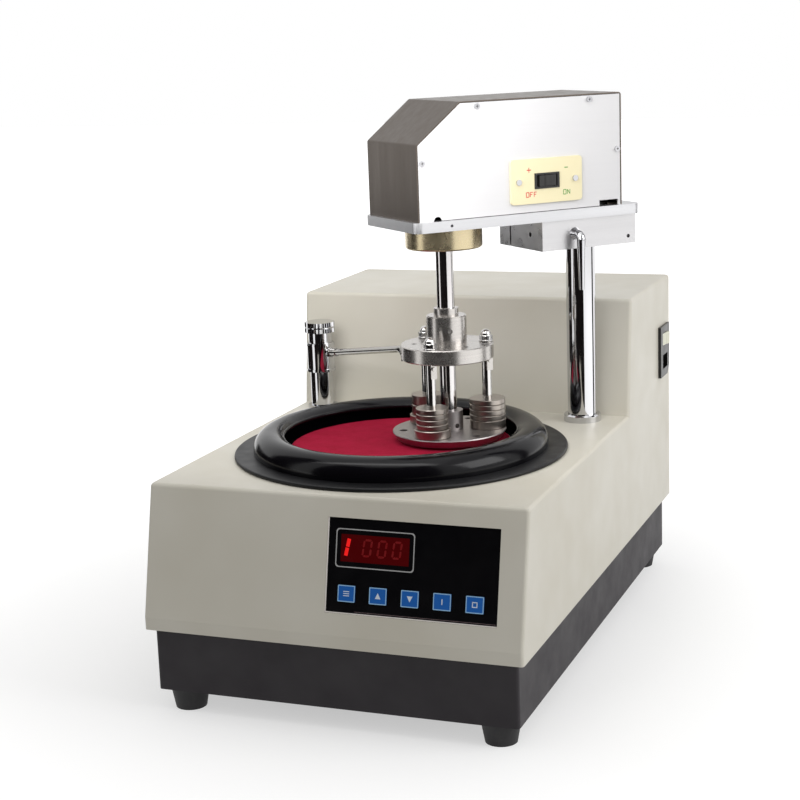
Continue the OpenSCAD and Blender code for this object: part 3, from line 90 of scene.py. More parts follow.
def mesh_piece(name, verts, faces, smooth=False):
    """A mesh object at the origin from an array of points and a list of faces."""
    mesh = bpy.data.meshes.new(name)
    mesh.from_pydata(np.asarray(verts, float).tolist(), [], [list(map(int, f)) for f in faces])
    mesh.update()
    if smooth:
        mesh.polygons.foreach_set("use_smooth", [True] * len(mesh.polygons))
    piece = bpy.data.objects.new(name, mesh)
    bpy.context.scene.collection.objects.link(piece)
    return piece


def grid_faces(rows, cols, wrap_rows=False, wrap_cols=True):
    """Quads that join a rows x cols grid of points, closing it round where asked."""
    r = np.arange(rows if wrap_rows else rows - 1)
    c = np.arange(cols if wrap_cols else cols - 1)
    r, c = np.meshgrid(r, c, indexing="ij")
    r2, c2 = (r + 1) % rows, (c + 1) % cols
    quads = np.stack([r * cols + c, r * cols + c2, r2 * cols + c2, r2 * cols + c], -1)
    return quads.reshape(-1, 4)


def revolved(name, profile, centre, turns=96):
    """A profile of (radius, height) in mm from its low pole to its high pole, turned about a vertical axis:
    x = r cos t, y = r sin t, z = h. The first and last points have radius 0.
    Edges over SHARP_EDGE stay sharp."""
    profile = np.asarray(profile, float) * MM
    t = np.linspace(0, 2 * np.pi, turns, endpoint=False)
    r, h = profile[1:-1, 0], profile[1:-1, 1]
    pts = np.stack([np.outer(r, np.cos(t)), np.outer(r, np.sin(t)), np.repeat(h[:, None], turns, 1)], -1)
    pts = pts.reshape(-1, 3)
    pts = np.concatenate([pts, [[0, 0, profile[0, 1]], [0, 0, profile[-1, 1]]]])
    pts += np.array([centre[0], centre[1], 0])
    low, high, last = len(pts) - 2, len(pts) - 1, (len(r) - 1) * turns
    i = np.arange(turns)
    j = (i + 1) % turns
    faces = grid_faces(len(r), turns).tolist()
    faces += np.stack([np.full(turns, low), j, i], -1).tolist()
    faces += np.stack([np.full(turns, high), last + i, last + j], -1).tolist()
    piece = mesh_piece(name, pts, faces, True)
    piece.data.set_sharp_from_angle(angle=SHARP_EDGE)
    return piece


def arc(cx, cy, r, start, end, steps=8):
    """Points of part of a circle, angles in degrees."""
    a = np.radians(np.linspace(start, end, steps))
    return np.stack([cx + r * np.cos(a), cy + r * np.sin(a)], -1).tolist()


def flat_shapes(name, outlines, place, low, high):
    """Flat outlines in mm, each as thick as from low to high off the surface that place() lays them on."""
    verts, faces, n = [], [], 0
    for outline in outlines:
        outline = np.asarray(outline, float)
        x, y = outline[:, 0], outline[:, 1]
        if np.sum(x * np.roll(y, -1) - y * np.roll(x, -1)) < 0:
            outline = outline[::-1]
        k = len(outline)
        verts += [place(outline, low), place(outline, high)]
        i = np.arange(k)
        j = (i + 1) % k
        faces += np.stack([n + i, n + j, n + k + j, n + k + i], -1).tolist()
        faces += [(n + i[::-1]).tolist(), (n + k + i).tolist()]
        n += 2 * k
    return mesh_piece(name, np.concatenate(verts), faces)


def frame_strip(name, outer, width, place, low, high):
    """A closed band of one width inside an outline: the outline and the same one drawn in to its middle."""
    outer = np.asarray(outer, float)
    mid = (outer.max(0) + outer.min(0)) / 2
    half = (outer.max(0) - outer.min(0)) / 2
    inner = mid + (outer - mid) * (half - width) / half
    k = len(outer)
    verts = np.concatenate([place(outer, low), place(outer, high), place(inner, high), place(inner, low)])
    return mesh_piece(name, verts, grid_faces(4, k, wrap_rows=True))


def round_box(x0, y0, x1, y1, r, steps=6):
    """Outline of a rectangle whose corners are quarter circles of radius r."""
    a = np.linspace(0, np.pi / 2, steps)
    parts = []
    corners = ((x1 - r, y1 - r, 0), (x0 + r, y1 - r, 1), (x0 + r, y0 + r, 2), (x1 - r, y0 + r, 3))
    for cx, cy, start in corners:
        t = a + start * np.pi / 2
        parts.append(np.stack([cx + r * np.cos(t), cy + r * np.sin(t)], -1))
    return np.concatenate(parts)


def stroke(x0, y0, x1, y1, w):
    """Outline of a straight pen stroke of width w."""
    d = np.array([x1 - x0, y1 - y0], float)
    n = np.array([-d[1], d[0]]) / np.hypot(*d) * w / 2
    a, b = np.array([x0, y0]), np.array([x1, y1])
    return np.array([a - n, b - n, b + n, a + n])


LETTERS = {
    "O": [(0, 0, 0, 6), (0, 6, 4, 6), (4, 6, 4, 0), (4, 0, 0, 0)],
    "N": [(0, 0, 0, 6), (0, 6, 4, 0), (4, 0, 4, 6)],
    "F": [(0, 0, 0, 6), (0, 6, 4, 6), (0, 3.2, 3, 3.2)],
}


def word(letters, x, y, size, pen):
    """Pen strokes of a short word, its lower left corner at (x, y)."""
    s = size / 6
    out = []
    for k, letter in enumerate(letters):
        for a, b, c, d in LETTERS[letter]:
            out.append(stroke(x + (a + 6 * k) * s, y + b * s, x + (c + 6 * k) * s, y + d * s, pen))
    return out


# Finishes

def tone(r, g, b):
    """An 8-bit colour as linear light."""
    c = np.array([r, g, b]) / 255
    lin = np.where(c <= 0.04045, c / 12.92, ((c + 0.055) / 1.055) ** 2.4)
    return (*lin.tolist(), 1.0)


class Finish:
    """A material under construction: its shader and short calls for the nodes that feed it."""

    def __init__(self, name, colour, rough=0.4, metal=0.0, **sockets):
        self.mat = bpy.data.materials.new(name)
        self.mat.use_nodes = True
        self.tree = self.mat.node_tree
        self.shader = self.tree.nodes["Principled BSDF"]
        self.set("Base Color", colour)
        self.set("Roughness", rough)
        self.set("Metallic", metal)
        for key, value in sockets.items():
            self.set(key.replace("_", " "), value)
        self.colour, self.rough = colour, rough
        self.coords = self.add("ShaderNodeTexCoord").outputs["Object"]
        self.height = None
        self.mat.diffuse_color = colour

    def add(self, kind, **values):
        node = self.tree.nodes.new(kind)
        for key, value in values.items():
            setattr(node, key, value)
        return node

    def set(self, socket, value):
        self.shader.inputs[socket].default_value = value

    def link(self, a, b):
        self.tree.links.new(a, b)

    def stretched(self, scale, turn=0.0, centre=(0, 0, 0)):
        """Object coordinates moved to a centre, turned about Z and scaled along each axis."""
        shift = self.add("ShaderNodeVectorMath", operation="SUBTRACT")
        shift.inputs[1].default_value = centre
        self.link(self.coords, shift.inputs[0])
        turned = self.add("ShaderNodeVectorRotate", rotation_type="Z_AXIS")
        turned.inputs["Angle"].default_value = -turn
        self.link(shift.outputs[0], turned.inputs["Vector"])
        scaled = self.add("ShaderNodeVectorMath", operation="MULTIPLY")
        scaled.inputs[1].default_value = scale if hasattr(scale, "__len__") else (scale,) * 3
        self.link(turned.outputs[0], scaled.inputs[0])
        return scaled.outputs[0]

    def noise(self, scale, detail=3.0, rough=0.5, **place):
        node = self.add("ShaderNodeTexNoise")
        node.inputs["Scale"].default_value = 1.0
        node.inputs["Detail"].default_value = detail
        node.inputs["Roughness"].default_value = rough
        self.link(self.stretched(scale, **place), node.inputs["Vector"])
        return node.outputs["Fac"]

    def between(self, value, low, high, out_low=0.0, out_high=1.0):
        node = self.add("ShaderNodeMapRange", clamp=True)
        for k, v in zip(("From Min", "From Max", "To Min", "To Max"), (low, high, out_low, out_high)):
            node.inputs[k].default_value = v
        self.link(value, node.inputs["Value"])
        return node.outputs[0]

    def tint(self, value, other):
        """Mixes the colour so far with another one, by value."""
        mix = self.add("ShaderNodeMix", data_type="RGBA")
        self.link(value, mix.inputs["Factor"])
        source = self.shader.inputs["Base Color"]
        if source.is_linked:
            self.link(source.links[0].from_socket, mix.inputs["A"])
        else:
            mix.inputs["A"].default_value = source.default_value
        mix.inputs["B"].default_value = other
        self.link(mix.outputs["Result"], source)
        return self

    def gloss(self, value, low, high):
        """Roughness from low to high, by value."""
        self.link(self.between(value, 0.25, 0.75, low, high), self.shader.inputs["Roughness"])
        return self

    def relief(self, value, depth_mm, strength=1.0):
        """Adds a fine relief of a given depth in mm."""
        bump = self.add("ShaderNodeBump")
        bump.inputs["Strength"].default_value = strength
        bump.inputs["Distance"].default_value = depth_mm * MM
        self.link(value, bump.inputs["Height"])
        target = self.shader.inputs["Normal"]
        if target.is_linked:
            self.link(target.links[0].from_socket, bump.inputs["Normal"])
        self.link(bump.outputs[0], target)
        return self


def painted(name, colour, rough, grain_mm=0.9, depth=0.02, soil=None):
    """Baked paint: orange-peel relief, slow changes of tone and gloss, and faint handling marks."""
    f = Finish(name, colour, rough, Specular_IOR_Level=0.45)
    slow = f.noise(9, 2)
    f.gloss(f.noise(35, 4), rough - 0.06, rough + 0.08)
    darker = tuple(c * 0.93 for c in colour[:3]) + (1,)
    f.tint(f.between(slow, 0.35, 0.7), soil or darker)
    return f.relief(f.noise(1000 / grain_mm, 2), depth)


def brushed(name, colour, rough, turn=0.0, along="z", streak=0.22, depth=0.006, metal=1.0):
    """Brushed sheet: long fine streaks along one direction change the tone, the gloss and the relief."""
    f = Finish(name, colour, rough, metal)
    fine, long_ = 1500, 9
    scale = {"z": (fine, fine, long_), "x": (long_, fine, fine)}[along]
    lines = f.noise(scale, 4, 0.7, turn=turn)
    broad = f.noise(tuple(s / 12 if s > 100 else s / 2 for s in scale), 2, turn=turn)
    darker = tuple(c * (1 - streak) for c in colour[:3]) + (1,)
    lighter = tuple(min(1, c * (1 + streak * 0.7)) for c in colour[:3]) + (1,)
    f.tint(f.between(lines, 0.3, 0.75), darker)
    f.tint(f.between(broad, 0.45, 0.75, 0, 0.6), lighter)
    f.gloss(broad, rough - 0.05, rough + 0.1)
    return f.relief(lines, depth)


def turned(name, colour, rough, centre, pitch_mm=0.35, depth=0.004, metal=1.0, wear=0.12):
    """Lathe-turned metal: fine rings round its axis, in height on its sides and in radius on its ends."""
    f = Finish(name, colour, rough, metal)
    shift = f.add("ShaderNodeVectorMath", operation="SUBTRACT")
    shift.inputs[1].default_value = centre
    f.link(f.coords, shift.inputs[0])
    split = f.add("ShaderNodeSeparateXYZ")
    f.link(shift.outputs[0], split.inputs[0])
    flat = f.add("ShaderNodeCombineXYZ")
    f.link(split.outputs["X"], flat.inputs["X"])
    f.link(split.outputs["Y"], flat.inputs["Y"])
    length = f.add("ShaderNodeVectorMath", operation="LENGTH")
    f.link(flat.outputs[0], length.inputs[0])
    rings = f.add("ShaderNodeCombineXYZ")
    f.link(length.outputs["Value"], rings.inputs["X"])
    f.link(split.outputs["Z"], rings.inputs["Y"])
    scaled = f.add("ShaderNodeVectorMath", operation="MULTIPLY")
    scaled.inputs[1].default_value = (1000 / pitch_mm,) * 3
    f.link(rings.outputs[0], scaled.inputs[0])
    lines = f.add("ShaderNodeTexNoise")
    lines.inputs["Scale"].default_value = 1.0
    lines.inputs["Detail"].default_value = 2.0
    f.link(scaled.outputs[0], lines.inputs["Vector"])
    darker = tuple(c * (1 - wear) for c in colour[:3]) + (1,)
    f.tint(f.between(lines.outputs["Fac"], 0.35, 0.7), darker)
    f.gloss(f.noise(90, 3), max(0.03, rough - 0.015), rough + 0.03)
    return f.relief(lines.outputs["Fac"], depth)


def moulded(name, colour, rough, grain_mm=0.35, depth=0.01, dust=None, **sockets):
    """Moulded plastic or rubber: fine grain, slow gloss changes and a little dust."""
    f = Finish(name, colour, rough, **sockets)
    f.gloss(f.noise(60, 4), max(0.03, rough - 0.05), rough + 0.07)
    if dust:
        f.tint(f.between(f.noise(140, 5, 0.65), 0.55, 0.85, 0, 0.35), dust)
    return f.relief(f.noise(1000 / grain_mm, 2), depth)


CREAM = painted("cream_paint", tone(214, 210, 198), 0.4, soil=tone(207, 202, 188))
DARK = painted("dark_paint", tone(30, 24, 30), 0.55, 0.5, 0.03)
GREY = painted("chassis_paint", tone(104, 108, 116), 0.45)
MOTOR = painted("motor_paint", tone(66, 78, 96), 0.4)
FOOT = moulded("foot_rubber", tone(30, 29, 31), 0.6, dust=tone(70, 68, 66))
RING = moulded("ring_gloss", tone(10, 9, 13), 0.16, 2.5, 0.004, Specular_IOR_Level=0.22)
BASIN = moulded("basin_black", tone(20, 20, 22), 0.42, 1.2, 0.01, Specular_IOR_Level=0.3)
PANEL = moulded("panel_film", tone(9, 8, 11), 0.35, 0.4, 0.003, Specular_IOR_Level=0.15)
# Painted glow: the display window gives off a dim red light of its own.
WINDOW = moulded("display_window", tone(34, 2, 4), 0.25, 3, 0.001, Specular_IOR_Level=0.15,
                 Emission_Color=tone(120, 4, 8), Emission_Strength=0.22)
KEY = moulded("key_blue", tone(26, 98, 182), 0.45, 0.5, 0.003, Specular_IOR_Level=0.2)
KEY_LINE = moulded("key_line", tone(150, 196, 235), 0.4)
MARK = moulded("white_print", tone(214, 224, 235), 0.45)
FRAME_LINE = moulded("display_line", tone(176, 176, 176), 0.4)
LIT = Finish("lit_bar", tone(200, 12, 14), 0.3, Emission_Color=tone(255, 24, 18), Emission_Strength=0.55)
LIT.gloss(LIT.noise(200, 2), 0.25, 0.4)
# Painted glow: the unlit bars give off a dim red light of their own.
GHOST = Finish("unlit_bars_painted_glow", tone(96, 8, 12), 0.3, Emission_Color=tone(150, 10, 14), Emission_Strength=0.18)
GHOST.gloss(GHOST.noise(200, 2), 0.25, 0.4)
INLET = moulded("inlet_black", tone(18, 18, 18), 0.35)
BELT = moulded("belt_rubber", tone(22, 22, 22), 0.6)
BOARD = moulded("board_green", tone(26, 84, 52), 0.5)
CHROME = Finish("chrome", tone(206, 206, 208), 0.05, 1.0)
CHROME.gloss(CHROME.noise(25, 4), 0.03, 0.1)
CHROME.relief(CHROME.noise(120, 2), 0.01, 0.4)
TUBE = Finish("tube_steel", tone(178, 176, 172), 0.16, 1.0)
TUBE.gloss(TUBE.noise(60, 3), 0.12, 0.24)
PIPE = moulded("pipe_grey", tone(170, 170, 164), 0.5)
COPPER = turned("copper", tone(190, 120, 84), 0.3, (-0.163, 0.08, 0.19))
BOWL_STEEL = turned("platen_metal", tone(196, 196, 198), 0.3, tuple(BOWL))
CAST = painted("cast_grey", tone(96, 98, 102), 0.55, 1.5, 0.05)
BEARING = turned("bearing_steel", tone(170, 170, 174), 0.25, tuple(BOWL))
# Painted reflection: the hood steel has a dark tone so that it looks like steel reflecting dark
# surroundings. Its streaks come from its brushing.
HOOD = brushed("hood_steel", tone(99, 91, 84), 0.34, HEAD_TURN, "z", 0.12, 0.002)
SIDE = brushed("side_plate_steel", tone(209, 208, 209), 0.5, HEAD_TURN, "x", 0.03, 0.001, metal=0.15)
PLATE = brushed("plate_aluminium", tone(200, 200, 202), 0.32, HEAD_TURN, "x", 0.06, 0.001)
BLOCK = brushed("block_steel", tone(196, 195, 196), 0.3, HEAD_TURN, "x", 0.05, 0.0008)
SWITCH = moulded("switch_cream", tone(226, 216, 178), 0.42, 0.6, 0.01, dust=tone(222, 210, 168))
ROCKER = moulded("switch_black", tone(20, 18, 17), 0.3)
RED_PRINT = moulded("red_print", tone(206, 72, 60), 0.45)
GREEN_PRINT = moulded("green_print", tone(96, 150, 70), 0.45)
BRASS = turned("brass", tone(208, 193, 158), 0.26, tuple(HEAD_FOOT), 0.5, 0.001)
HOLDER = turned("holder_steel", tone(196, 192, 188), 0.26, tuple(HEAD_FOOT), 0.5, 0.0008)
SHAFT = turned("shaft_steel", tone(208, 205, 204), 0.1, tuple(HEAD_FOOT), 0.3, 0.0003, wear=0.04)
ROD = Finish("rod_steel", tone(208, 206, 204), 0.1, 1.0)
ROD.gloss(ROD.noise(80, 3), 0.06, 0.16)
SEAT_STEEL = turned("seat_plate_steel", tone(168, 163, 162), 0.4, tuple(HEAD_FOOT), 0.5, 0.0008)
FOOT_STEEL = [turned("plunger_foot_%s" % name, tone(176, 168, 160), 0.3, plunger_place(k), 0.4, 0.0008)
              for k, name in enumerate(("front", "right", "left"))]
ROCKER_PALE = moulded("rocker_cream", tone(226, 226, 206), 0.4)
EDGE_LIGHT = moulded("cut_edge", tone(240, 234, 228), 0.5)
EDGE_FAINT = moulded("film_edge", tone(120, 104, 106), 0.5)
SEAM = moulded("seam_shadow", tone(44, 40, 40), 0.7)
WEIGHTS = [turned("weight_steel_%s" % name, tone(176, 168, 160), 0.3, plunger_place(k), 0.4, 0.0008)
           for k, name in enumerate(("front", "right", "left"))]
SCREW = Finish("screw_nickel", tone(190, 190, 192), 0.2, 1.0)
SCREW.gloss(SCREW.noise(300, 2), 0.14, 0.3)
LEVER = Finish("lever_chrome", tone(196, 196, 198), 0.08, 1.0)
LEVER.gloss(LEVER.noise(60, 3), 0.08, 0.18)

CLOTH = Finish("polishing_cloth", tone(158, 20, 52), 0.9, Sheen_Weight=0.12, Sheen_Roughness=0.4,
               Specular_IOR_Level=0.1)
CLOTH.set("Sheen Tint", tone(220, 80, 110))
CLOTH.tint(CLOTH.between(CLOTH.noise(60, 5, 0.6), 0.35, 0.7), tone(140, 12, 40))
CLOTH.tint(CLOTH.between(CLOTH.noise(900, 3, 0.6), 0.45, 0.7, 0, 0.5), tone(176, 34, 66))
CLOTH.relief(CLOTH.noise(1800, 2), 0.25)

FINISHES = {
    CREAM: "top_cover rear_panel", DARK: "base_tray", FOOT: "rubber_feet", SCREW: "case_screws deck_nuts",
    BASIN: "splash_basin", RING: "splash_ring", PIPE: "drain_pipe", COPPER: "supply_pipe",
    CAST: "bearing_housing column_base", BEARING: "spindle_bearings platen_spindle", GREY: "chassis_frame",
    MOTOR: "drive_motor", BELT: "drive_belt", PANEL: "control_panel", WINDOW: "display_window",
    BOARD: "control_board", INLET: "power_inlet", ROCKER_PALE: "power_rocker",
    CHROME: "column column_collar tap_pillar tap_body tap_knob", TUBE: "water_tube",
    BOWL_STEEL: "platen driven_pulley motor_pulley", KEY: "function_key up_key down_key start_key stop_key",
    BRASS: "bearing_flange column_bush", PLATE: "head_plate", BLOCK: "clamp_block", HOOD: "head_cover",
    SIDE: "near_side_plate far_side_plate", SWITCH: "switch_plate",
    ROCKER: "rocker_switch head_rocker head_motor", LEVER: "clamp_lever", SHAFT: "head_spindle",
    HOLDER: "hub_sleeve carrier_flange", SEAT_STEEL: "holder_plate",
    ROD: "plunger_front plunger_right plunger_left",
    WEIGHTS[0]: "weights_front", WEIGHTS[1]: "weights_right", WEIGHTS[2]: "weights_left",
}
for finish, names in FINISHES.items():
    for name in names.split():
        nodes[name].data.materials.clear()
        nodes[name].data.materials.append(finish.mat)


def fit(piece, finish, body, slot, *stands_for):
    """Gives a new piece its finish and its body, and hides the CAD nodes that it stands for."""
    piece.data.materials.append(finish.mat)
    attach(piece, body)
    if stands_for:
        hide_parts(*stands_for)
    return piece


# Cloth on the turntable

def cloth_disc():
    """The cloth: a thin disc of radius R whose top rises and falls by low waves,
    z = CLOTH_TOP + 0.1 sin(3t) sin(pi r / R) in mm, its rim turned down to the turntable."""
    r = np.concatenate([[0.02], np.linspace(2, 113, 60), [114.0, CLOTH_RADIUS, CLOTH_RADIUS]])
    t = np.linspace(0, 2 * np.pi, 180, endpoint=False)
    rr, tt = np.meshgrid(r, t, indexing="ij")
    z = CLOTH_TOP + 0.1 * np.sin(3 * tt) * np.sin(np.pi * rr / CLOTH_RADIUS)
    z[-3], z[-2], z[-1] = 234.85, 234.5, CLOTH_FOOT
    top = np.stack([rr * np.cos(tt), rr * np.sin(tt), z], -1)
    pts = np.concatenate([top.reshape(-1, 3), [[0, 0, CLOTH_FOOT]]])
    n, k = len(r), len(t)
    faces = grid_faces(n, k)[:, ::-1].tolist()
    faces += [[(n - 1) * k + (i + 1) % k, (n - 1) * k + i, n * k] for i in range(k)]
    faces += [list(range(k))]
    return mesh_piece("cloth_disc", pts * MM + BOWL, faces, True)


cloth = fit(cloth_disc(), CLOTH, "turntable", "cloth_red", "polishing_cloth")

# Control panel print

WINDOW_LIFT = -0.45, -0.3
KEY_LINE_LIFT, KEY_MARK_LIFT = (0.65, 0.76), (0.68, 0.78)

fit(frame_strip("display_line", round_box(6, 65.5, 85.2, 102.3, 3.2), 1.0, on_face, -0.05, 0.12),
    FRAME_LINE, "machine", "panel_black")

SEGMENTS = {"a": (0, 12, 6, 12), "b": (6, 12, 6, 6), "c": (6, 6, 6, 0), "d": (0, 0, 6, 0),
            "e": (0, 6, 0, 0), "f": (0, 12, 0, 6), "g": (0, 6, 6, 6)}


def digit(segments, x, y, scale=1.0, slant=0.12):
    """Bars of one seven-bar digit, each a stroke with short pointed ends, leaning a little."""
    out = []
    for s in segments:
        x0, y0, x1, y1 = SEGMENTS[s]
        d = np.array([x1 - x0, y1 - y0], float)
        d /= np.hypot(*d)
        n = np.array([-d[1], d[0]])
        a, b = np.array([x0, y0]) + d * 0.35, np.array([x1, y1]) - d * 0.35
        pts = np.array([a, a + d * 0.8 - n * 0.8, b - d * 0.8 - n * 0.8,
                        b, b - d * 0.8 + n * 0.8, a + d * 0.8 + n * 0.8])
        pts = pts * scale
        pts[:, 0] += slant * pts[:, 1] + x
        pts[:, 1] += y
        out.append(pts)
    return out


lit = [stroke(16.2, 76.6, 17.6, 84.2, 3.6), stroke(17.8, 85.2, 19.2, 92.8, 3.6)]
fit(flat_shapes("display_lit_digit", lit, on_face, *WINDOW_LIFT), LIT, "machine", "display_red")
ghost = [bar for x in (33.0, 48.0, 63.0) for bar in digit("abcdef", x, 77.5, 1.25)]
fit(flat_shapes("display_dim_digits", ghost, on_face, *WINDOW_LIFT), GHOST, "machine", "display_red")

KEYS = ["function", "up", "down", "start", "stop"]
for k, name in enumerate(KEYS):
    x = PANEL_X + (k - 2) * KEY_PITCH - 0.3
    y = PANEL_UP - 26
    outer = round_box(x - 8.7, y - 7.9, x + 8.7, y + 7.9, 0.7)
    line = frame_strip(name + "_key_line", outer, 0.9, on_face, *KEY_LINE_LIFT)
    fit(line, KEY_LINE, "key_" + name, "key_blue")
    if name == "up":
        marks = [[(x - 2.8, y - 2.6), (x + 2.8, y - 2.6), (x, y + 3.0)]]
    elif name == "down":
        marks = [[(x - 2.8, y + 2.6), (x + 2.8, y + 2.6), (x, y - 3.0)]]
    elif name == "start":
        marks = [stroke(x, y - 2.6, x, y + 2.6, 1.0)]
    elif name == "stop":
        marks = [stroke(x + side, y - 2.2, x + side, y + 2.2, 0.9) for side in (-2.2, 2.2)]
        marks += [stroke(x - 2.6, y + side, x + 2.6, y + side, 0.9) for side in (-2.2, 2.2)]
    else:
        marks = [stroke(x - 3.0, y + d, x + 3.0, y + d, 0.8) for d in (-2.0, 0.0, 2.0)]
    fit(flat_shapes(name + "_key_mark", marks, on_face, *KEY_MARK_LIFT), MARK, "key_" + name, "key_blue")

x0, x1 = PANEL_X - PANEL_HALF_WIDTH, PANEL_X + PANEL_HALF_WIDTH
y0, y1 = PANEL_UP - PANEL_HALF_HEIGHT, PANEL_UP + PANEL_HALF_HEIGHT
edges = [stroke(x0 + 0.45, y0, x0 + 0.45, y1, 1.0), stroke(x0, y0 + 0.4, x1, y0 + 0.4, 0.9)]
fit(flat_shapes("panel_cut_edge", edges, on_face, -0.05, 0.9), EDGE_LIGHT, "machine", "panel_black")
fit(flat_shapes("panel_film_edge", [stroke(x0 + 30, y0 + 2.3, x1 - 1, y0 + 2.3, 0.4)], on_face, -0.05, 0.1),
    EDGE_FAINT, "machine", "panel_black")

# Plungers of the holder

TIP_LOW, FOOT_LOW, FOOT_TOP = 244.3, 245.8, 254.7  # heights of a plunger, mm
NUT_LOW, FLATS_LOW, FLATS_TOP, CROWN_LOW = 336.75, 338.0, 342.6, 343.7
TIP_RADIUS, FOOT_RADIUS, ROD_RADIUS = 6.0, 18.8, 5.0
NUT_RADIUS, NECK_RADIUS, FLATS_RADIUS, CROWN_RADIUS = 7.2, 6.2, 6.9, 5.5


def plunger_rod(name, k):
    """One plunger: tip, foot ring, rod and the crown of its domed nut, turned about its own axis."""
    tip = [[0, TIP_LOW], [TIP_RADIUS - 0.4, TIP_LOW], [TIP_RADIUS, TIP_LOW + 0.4], [TIP_RADIUS, FOOT_LOW]]
    foot = [[FOOT_RADIUS - 0.5, FOOT_LOW], [FOOT_RADIUS, FOOT_LOW + 0.5],
            [FOOT_RADIUS, FOOT_TOP - 0.5], [FOOT_RADIUS - 0.5, FOOT_TOP]]
    rod = [[ROD_RADIUS, FOOT_TOP], [ROD_RADIUS, NUT_LOW]]
    nut = [[NUT_RADIUS - 0.3, NUT_LOW], [NUT_RADIUS, NUT_LOW + 0.3], [NUT_RADIUS, 337.9],
           [NECK_RADIUS, 338.3], [NECK_RADIUS, 342.2], [NECK_RADIUS - 0.6, 342.9]]
    crown = arc(0, CROWN_LOW, CROWN_RADIUS, 0, 84, 10) + [[0, CROWN_LOW + CROWN_RADIUS]]
    return revolved(name, tip + foot + rod + nut + crown, plunger_place(k))


def nut_hexagon(name, k):
    """The six flats of a domed nut: a hexagon prism about the plunger's axis."""
    x, y, _ = plunger_place(k)

    def on_carrier(p, height):
        p = np.asarray(p, float) * MM
        return np.stack([p[:, 0] + x, p[:, 1] + y, np.full(len(p), height * MM)], -1)

    a = math.radians(12) + np.arange(6) * math.pi / 3
    hexagon = FLATS_RADIUS * np.stack([np.cos(a), np.sin(a)], -1)
    return flat_shapes(name, [hexagon], on_carrier, FLATS_LOW, FLATS_TOP)


for k, side in enumerate(("front", "right", "left")):
    rod = plunger_rod("plunger_rod_" + side, k)
    fit(rod, ROD, side + "_plunger", "plunger_steel", "plunger_" + side)
    rod.data.materials.append(FOOT_STEEL[k].mat)
    middles = np.zeros(len(rod.data.polygons) * 3)
    rod.data.polygons.foreach_get("center", middles)
    in_foot = middles.reshape(-1, 3)[:, 2] < (FOOT_TOP + 0.2) * MM
    rod.data.polygons.foreach_set("material_index", in_foot.astype(int))
    fit(nut_hexagon("domed_nut_" + side, k), SCREW, side + "_plunger", "plunger_steel")

# Seams and screws of the hood

SEAM_LIFT = -0.02, 0.05
edge = [(-55.0, 470), (-55.0, 544.6), (-6.6, 583.0), (180.4, 583.0), (180.4, 470)]
seam = [stroke(*a, *b, 0.55) for a, b in zip(edge, edge[1:])]
fit(flat_shapes("hood_seam", seam, on_near_side, *SEAM_LIFT), SEAM, "head", "hood_steel")
seam = [stroke(-31.0, 469.75, 156.0, 469.75, 0.5)]
fit(flat_shapes("plate_seam", seam, on_near_side, *SEAM_LIFT), SEAM, "head", "hood_steel")
SCREW_PLACES = [(12, 579), (143, 579), (176.5, 527), (-51, 527)]
crosses = [bar for u, z in SCREW_PLACES
           for bar in (stroke(u - 1.5, z, u + 1.5, z, 0.6), stroke(u, z - 1.5, u, z + 1.5, 0.6))]
fit(flat_shapes("screw_crosses", crosses, on_near_side, 1.75, 1.84), SEAM, "head", "hood_steel")

# Switch labels on the head

LABEL_LIFT = 2.45, 2.58
plus = [stroke(66.5, 512.5, 71.5, 512.5, 1.0), stroke(69, 510, 69, 515, 0.8)]
minus = [stroke(111, 512.5, 115, 512.5, 1.0)]
off, on = word("OFF", 65.5, 485.5, 4.6, 0.8) + plus, word("ON", 109.5, 485.5, 4.6, 0.8) + minus
fit(flat_shapes("off_label", off, on_near_side, *LABEL_LIFT), RED_PRINT, "head", "switch_cream")
fit(flat_shapes("on_label", on, on_near_side, *LABEL_LIFT), GREEN_PRINT, "head", "switch_cream")

# Studio

FLAG = Finish("flag_black", tone(38, 34, 34), 1.0, Specular_IOR_Level=0.0)
FLAG_DISTANCE = 0.95
FLAGS = {"flag_front": (-88, 1.42, 1.5), "flag_side": (168, 0.5, 0.36),
         "flag_left": (-163, 0.46, 1.5), "flag_right": (26, 0.2, 1.5)}


def card(name, azimuth, width, height):
    """A flag that stands on the floor, its width bent round the machine, seen only in reflections."""
    a = np.radians(azimuth) + np.linspace(-0.5, 0.5, 24) * width / FLAG_DISTANCE
    z = np.array([0.0, height])
    aa, zz = np.meshgrid(a, z, indexing="ij")
    pts = np.stack([FLAG_DISTANCE * np.cos(aa), FLAG_DISTANCE * np.sin(aa), zz], -1).reshape(-1, 3)
    piece = mesh_piece(name, pts, grid_faces(24, 2, wrap_cols=False))
    piece.data.materials.append(FLAG.mat)
    piece.visible_camera = False
    piece.visible_shadow = False
    piece.visible_diffuse = False
    return piece


for name, (azimuth, width, height) in FLAGS.items():
    card(name, azimuth, width, height)

FLOOR_HALF = 9
corners = FLOOR_HALF * np.array([[-1, -1, 0], [1, -1, 0], [1, 1, 0], [-1, 1, 0]], float)
floor = mesh_piece("floor", corners, [[0, 1, 2, 3]])
ground = Finish("floor_paper", (0.5, 0.5, 0.5, 1), 0.9, Specular_IOR_Level=0.1)
ground.set("Emission Color", (1, 1, 1, 1))


def seen_directly(tree):
    """1 where a camera, glossy or transmission ray meets the surface, 0 for light on the object."""
    rays = tree.nodes.new("ShaderNodeLightPath")
    value = rays.outputs["Is Camera Ray"]
    for other in ("Is Glossy Ray", "Is Transmission Ray"):
        step = tree.nodes.new("ShaderNodeMath")
        step.operation = "MAXIMUM"
        tree.links.new(value, step.inputs[0])
        tree.links.new(rays.outputs[other], step.inputs[1])
        value = step.outputs[0]
    return value


